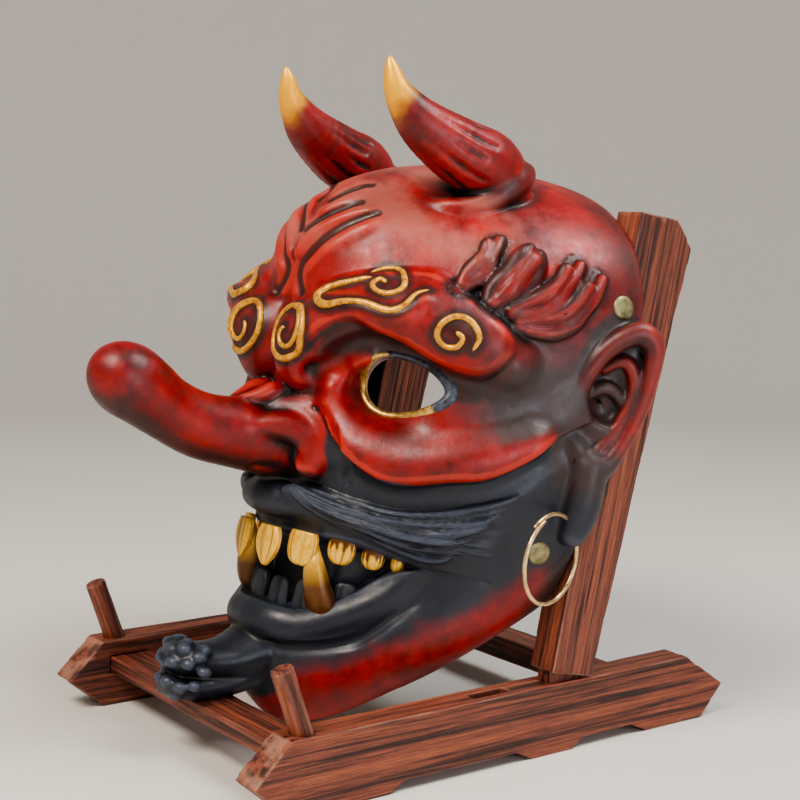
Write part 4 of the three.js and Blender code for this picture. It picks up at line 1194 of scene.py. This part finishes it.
def brassPaint(name, low, high, scale, rough):
    # thin plated brass: pale and matt, with soft stains and fine scratches from handling
    material, tree, shader = newMaterial(name)
    place = addNode(tree, "TexCoord").outputs["Object"]
    stain = addNode(tree, "TexNoise", {"Scale": scale, "Detail": 5, "Roughness": 0.6}, {"Vector": place})
    fine = addNode(tree, "TexNoise", {"Scale": scale * 9, "Detail": 3}, {"Vector": place})
    tone = addNode(tree, "ValToRGB", {}, {"Fac": stain.outputs["Fac"]})
    tone.color_ramp.elements[0].position = 0.3
    tone.color_ramp.elements[0].color = paint(low)
    tone.color_ramp.elements[1].position = 0.62
    tone.color_ramp.elements[1].color = paint(high)
    tree.links.new(tone.outputs["Color"], shader.inputs["Base Color"])
    shader.inputs["Metallic"].default_value = 0.9
    gloss = addNode(tree, "MapRange", {"To Min": rough - 0.1, "To Max": rough + 0.12}, {"Value": stain.outputs["Fac"]})
    tree.links.new(gloss.outputs[0], shader.inputs["Roughness"])
    bump = addNode(tree, "Bump", {"Strength": 0.2, "Distance": 0.0002}, {"Height": fine.outputs["Fac"]})
    tree.links.new(bump.outputs[0], shader.inputs["Normal"])
    return material


capBrass = brassPaint("strap_cap_brass_matt", "6f6a4c", "a49b74", 260, 0.5)
ringBrass = brassPaint("earring_brass_bright", "b8925f", "ecd3a6", 180, 0.28)


def nodeFrame(name):
    # middle and thin axis of a flat CAD node, in metres
    points = places(bpy.data.objects[name])
    low, high = points.min(0), points.max(0)
    centre = (low + high) / 2
    _, _, axes = np.linalg.svd(points - points.mean(0), full_matrices=False)
    axis = axes[2] * (1 if axes[2][0] * centre[0] > 0 else -1)
    return points, centre, axis


def makeCap(node):
    points, centre, axis = nodeFrame(node)
    side = np.cross(axis, [0, 0, 1.0])
    side /= np.linalg.norm(side)
    up = np.cross(side, axis)
    radius = np.abs((points - centre) @ side).max()
    top = ((points - centre) @ axis).max()
    turn = np.arange(capForm["sides"]) * 2 * math.pi / capForm["sides"]
    rings = [centre + axis * top * height + radius * max(reach, 0.02) * (np.cos(turn)[:, None] * side
                                                                       + np.sin(turn)[:, None] * up)
             for reach, height in capForm["profile"]]
    count = capForm["sides"]
    faces = [(k * count + j, k * count + (j + 1) % count, (k + 1) * count + (j + 1) % count, (k + 1) * count + j)
             for k in range(len(rings) - 1) for j in range(count)]
    faces.append(tuple(range(count))[::-1])
    faces.append(tuple((len(rings) - 1) * count + j for j in range(count)))
    piece = makeObject(node.replace("strap_cap", "cap_disc"), np.concatenate(rings), [f[::-1] for f in faces])
    piece.data.materials.append(capBrass)
    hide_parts(node)
    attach(piece, "root")


def makeRing(node, word):
    points, centre, axis = nodeFrame(node)
    side = np.cross(axis, [0, 0, 1.0])
    side /= np.linalg.norm(side)
    up = np.cross(side, axis)
    share = np.linspace(0, 1, ringForm["steps"])
    turn = np.radians(ringForm["joint"] + (360 + ringForm["lap"]) * share)
    radius = (ringForm["diameter"] - ringForm["wire"]) / 2
    way = np.cos(turn)[:, None] * side * (1 if word == "left" else -1) + np.sin(turn)[:, None] * up
    shift = ringForm["gap"] * (2 * share - 1)
    path = centre + (way * radius + axis * shift[:, None]) * mm
    half = ringForm["wire"] / 2 * (1 - 0.3 * (1 - smooth(np.minimum(share, 1 - share), 0, 0.03)))
    piece = tube("ring_wire_" + word, path, way * mm, np.broadcast_to(axis * mm, way.shape), half, half, sides=14)
    piece.data.materials.append(ringBrass)
    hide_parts(node)
    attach(piece, "root")


for node in ("strap_cap_upper_left", "strap_cap_lower_left", "strap_cap_upper_right", "strap_cap_lower_right"):
    makeCap(node)
for word in ("left", "right"):
    makeRing("earring_" + word, word)
print("caps and rings made")


# The stand's boards

boardForm = {
    "edge": 1.0, "cut": (5.0, 1.0, 1.2), "grain": 0.38, "chips": 0.9,
    "boards": {"rail_left": "rail", "rail_right": "rail", "post_left": "post", "post_right": "post",
               "peg_left": "peg", "peg_right": "peg", "slat_front": "slat", "slat_rear": "slat"},
}
boardWays = {
    "rail": ((0, 1, 0), (0, 0, 1), (1, 0, 0)),
    "post": (tuple(maskAxes[2]), tuple(maskAxes[1]), (1, 0, 0)),
    "slat": ((1, 0, 0), (0, 1, 0), (0, 0, 1)),
}


def woodPaint():
    # oiled open-grained hardwood: dark and orange stripes along the board, pores, and paler rubbed edges
    material, tree, shader = newMaterial("oiled_striped_hardwood")
    grain = addNode(tree, "Attribute", {"attribute_name": "grain"}).outputs["Vector"]
    # the attribute holds millimetres along, across and through the board
    broad = addNode(tree, "Mapping", {"Scale": (0.006, 0.24, 0.15)}, {"Vector": grain})
    narrow = addNode(tree, "Mapping", {"Scale": (0.014, 0.62, 0.42)}, {"Vector": grain})
    hair = addNode(tree, "Mapping", {"Scale": (0.05, 2.4, 2.0)}, {"Vector": grain})
    pores = addNode(tree, "Mapping", {"Scale": (0.12, 3.6, 3.2)}, {"Vector": grain})
    noises = [addNode(tree, "TexNoise", {"Scale": 1, "Detail": detail, "Roughness": 0.55, "Distortion": bent},
                      {"Vector": mapping.outputs[0]})
              for mapping, detail, bent in ((broad, 3, 0.9), (narrow, 4, 0.6), (hair, 3, 0.2), (pores, 2, 0.1))]
    bands = addNode(tree, "Math", {"operation": "MULTIPLY_ADD", 1: 0.55}, {0: noises[0].outputs["Fac"]})
    thin = addNode(tree, "Math", {"operation": "MULTIPLY", 1: 0.45}, {0: noises[1].outputs["Fac"]})
    tree.links.new(thin.outputs[0], bands.inputs[2])
    tone = addNode(tree, "ValToRGB", {}, {"Fac": bands.outputs[0]})
    ramp = tone.color_ramp
    ramp.elements[0].position, ramp.elements[0].color = 0.38, paint("341a13")
    ramp.elements[1].position, ramp.elements[1].color = 0.66, paint("a85c38")
    for position, code in ((0.45, "51281e"), (0.49, "78402e"), (0.54, "8a4834"), (0.60, "98543a")):
        ramp.elements.new(position).color = paint(code)
    streak = addNode(tree, "MapRange", {"From Min": 0.35, "From Max": 0.62, "To Min": 0.55, "To Max": 1.12},
                     {"Value": noises[2].outputs["Fac"]})
    dark = addNode(tree, "MapRange", {"From Min": 0.58, "From Max": 0.68, "To Min": 1.0, "To Max": 0.35},
                   {"Value": noises[3].outputs["Fac"]})
    shade = addNode(tree, "Math", {"operation": "MULTIPLY"}, {0: streak.outputs[0], 1: dark.outputs[0]})
    shaded = addNode(tree, "Mix", {"data_type": "RGBA", "blend_type": "MULTIPLY", 0: 1.0}, {6: tone.outputs["Color"]})
    grey = addNode(tree, "CombineColor", {}, {0: shade.outputs[0], 1: shade.outputs[0], 2: shade.outputs[0]})
    tree.links.new(grey.outputs[0], shaded.inputs[7])
    worn = addNode(tree, "Attribute", {"attribute_name": "worn"}).outputs["Fac"]
    share = addNode(tree, "Math", {"operation": "MULTIPLY", 1: 0.5}, {0: worn})
    rubbed = addNode(tree, "Mix", {"data_type": "RGBA", 7: paint("b98a72")}, {0: share.outputs[0], 6: shaded.outputs[2]})
    tree.links.new(rubbed.outputs[2], shader.inputs["Base Color"])
    rough = addNode(tree, "MapRange", {"From Min": 0.3, "From Max": 0.7, "To Min": 0.62, "To Max": 0.42},
                    {"Value": noises[1].outputs["Fac"]})
    tree.links.new(rough.outputs[0], shader.inputs["Roughness"])
    fine = addNode(tree, "Bump", {"Strength": 0.5, "Distance": 0.0004}, {"Height": shade.outputs[0]})
    tree.links.new(fine.outputs[0], shader.inputs["Normal"])
    return material


wood = woodPaint()


def makeBoard(node, kind, seed):
    piece = bpy.data.objects[node].copy()
    piece.data = piece.data.copy()
    piece.name = node.replace("rail", "base_rail").replace("post", "back_post").replace("peg", "front_peg") \
        .replace("slat", "cross_slat")
    piece.data.materials.clear()
    bpy.context.scene.collection.objects.link(piece)
    if kind == "peg":
        points = places(piece)
        along = np.linalg.svd(points - points.mean(0), full_matrices=False)[2][0]
        along = along * np.sign(along[2])
        across = np.cross([1.0, 0, 0], along)
        ways = np.array([along, across / np.linalg.norm(across), np.cross(along, across)])
    else:
        ways = np.array(boardWays[kind], float)
    mesh = bmesh.new()
    mesh.from_mesh(piece.data)
    bmesh.ops.remove_doubles(mesh, verts=mesh.verts, dist=1e-5)
    bmesh.ops.dissolve_limit(mesh, angle_limit=0.02, verts=mesh.verts, edges=mesh.edges)
    sharp = [edge for edge in mesh.edges if edge.is_manifold and edge.calc_face_angle(0) > 0.6]
    bmesh.ops.bevel(mesh, geom=sharp, offset=boardForm["edge"] * mm, segments=2, profile=0.6, affect="EDGES",
                    clamp_overlap=True)
    steps = boardForm["cut"]
    for way, step in zip(ways, steps):
        spans = [vert.co @ Vector(way) for vert in mesh.verts]
        for place in np.arange(min(spans) + step * mm, max(spans), step * mm):
            bmesh.ops.bisect_plane(mesh, geom=mesh.verts[:] + mesh.edges[:] + mesh.faces[:],
                                   plane_co=Vector(way) * place, plane_no=Vector(way), dist=1e-6)
    bmesh.ops.triangulate(mesh, faces=[face for face in mesh.faces if len(face.verts) > 4])
    mesh.to_mesh(piece.data)
    mesh.free()
    points = places(piece)
    normals = np.empty(len(points) * 3, np.float32)
    piece.data.vertices.foreach_get("normal", normals)
    normals = normals.reshape(-1, 3).astype(float)
    grain = np.stack([(points / mm) @ way for way in ways], 1)
    ends = np.abs(normals @ ways[0])
    corner = 1 - np.abs(normals @ ways.T).max(1)
    lines = ripple(grain * [0.03, 1, 1], 3.4, seed) * (1 - smooth(ends, 0.3, 0.7))
    chips = np.clip(ripple(grain * [0.35, 1, 1], 9, seed + 50) - 0.25, 0, 1) * smooth(corner, 0.02, 0.15)
    sink = boardForm["grain"] * np.clip(lines, 0, 1) + boardForm["chips"] * chips
    points -= normals * (sink * mm)[:, None]
    piece.data.vertices.foreach_set("co", points.astype(np.float32).ravel())
    piece.data.update()
    write(piece, "grain", grain + [seed * 37.0, seed * 11.0, seed * 23.0])
    write(piece, "worn", smooth(corner, 0.02, 0.2) * np.clip(0.5 + ripple(grain * [0.2, 1, 1], 12, seed), 0, 1))
    piece.data.polygons.foreach_set("use_smooth", np.ones(len(piece.data.polygons), bool))
    piece.data.materials.append(wood)
    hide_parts(node)
    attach(piece, "root")
    return len(piece.data.polygons)


for seed, (node, kind) in enumerate(boardForm["boards"].items()):
    print(node, makeBoard(node, kind, seed + 1), "faces")


# Floor, light and camera

# a round floor that turns up into a wall all round, so no edge shows behind the object; metres
stageLook = {"tint": "dad7d1", "radius": 2.2, "bend": 0.9, "height": 2.0, "sides": 72}
lampLook = {
    # place, size in metres, watts and tint of each soft lamp, all aimed at the middle of the object
    "key": ((0.25, -0.95, 1.35), 0.6, 23, "fff4e8"),
    "top": ((0.55, 0.45, 1.25), 0.6, 12, "ffffff"),
    "fill": ((1.5, -0.1, 0.4), 0.8, 7, "eef2ff"),
}
skyLook = {"tint": "e6e7ea", "strength": 0.22}
cameraLook = {"place": (673.6, -347.0, 273.3), "azimuth": 53.49, "elevation": 7.0, "roll": 1.32, "lens": 70.78,
              "sensor": 36.0}


def makeStage():
    floor = stageLook["radius"] - stageLook["bend"]
    turns = np.linspace(0, math.pi / 2, 13)
    outline = [(0.6, 0), (floor, 0)] + [(floor + stageLook["bend"] * math.sin(t), stageLook["bend"] * (1 - math.cos(t)))
                                        for t in turns[1:]] + [(stageLook["radius"], stageLook["height"])]
    sides = stageLook["sides"]
    points = [(0, 0, 0)] + [(reach * math.cos(2 * math.pi * j / sides), reach * math.sin(2 * math.pi * j / sides), z)
                            for reach, z in outline for j in range(sides)]
    faces = [(0, 1 + j, 1 + (j + 1) % sides) for j in range(sides)]
    faces += [(1 + i * sides + j, 1 + (i + 1) * sides + j, 1 + (i + 1) * sides + (j + 1) % sides,
               1 + i * sides + (j + 1) % sides) for i in range(len(outline) - 1) for j in range(sides)]
    backdrop = makeObject("backdrop", points, faces)
    material, tree, shader = newMaterial("matt_paper_backdrop")
    shader.inputs["Base Color"].default_value = paint(stageLook["tint"])
    shader.inputs["Roughness"].default_value = 0.85
    backdrop.data.materials.append(material)


def addLight(name, place, aim, size, power, tint):
    lamp = bpy.data.lights.new(name, "AREA")
    lamp.shape = "DISK"
    lamp.size = size
    lamp.energy = power
    lamp.color = paint(tint)[:3]
    holder = bpy.data.objects.new(name, lamp)
    bpy.context.scene.collection.objects.link(holder)
    holder.location = place
    holder.rotation_euler = (Vector(aim) - Vector(place)).to_track_quat("-Z", "Y").to_euler()


def makeLights():
    for name, (place, size, power, tint) in lampLook.items():
        addLight(name, place, (0, 0, 0.18), size, power, tint)
    world = bpy.data.worlds.new("studio")
    bpy.context.scene.world = world
    world.use_nodes = True
    background = world.node_tree.nodes["Background"].inputs
    background["Color"].default_value = paint(skyLook["tint"])
    background["Strength"].default_value = skyLook["strength"]
    bpy.context.scene.view_settings.look = "AgX - Medium High Contrast"


def makeCamera():
    lens = bpy.data.cameras.new("camera")
    lens.sensor_width = cameraLook["sensor"]
    lens.lens = cameraLook["lens"]
    lens.clip_start = 0.01
    holder = bpy.data.objects.new("camera", lens)
    bpy.context.scene.collection.objects.link(holder)
    turn = (Matrix.Rotation(math.radians(cameraLook["azimuth"]), 4, "Z")
            @ Matrix.Rotation(math.radians(90 - cameraLook["elevation"]), 4, "X")
            @ Matrix.Rotation(math.radians(cameraLook["roll"]), 4, "Z"))
    place = Vector((np.array(cameraLook["place"]) + standOrigin) * mm)
    holder.matrix_world = Matrix.Translation(place) @ turn
    bpy.context.scene.camera = holder


makeStage()
makeLights()
makeCamera()
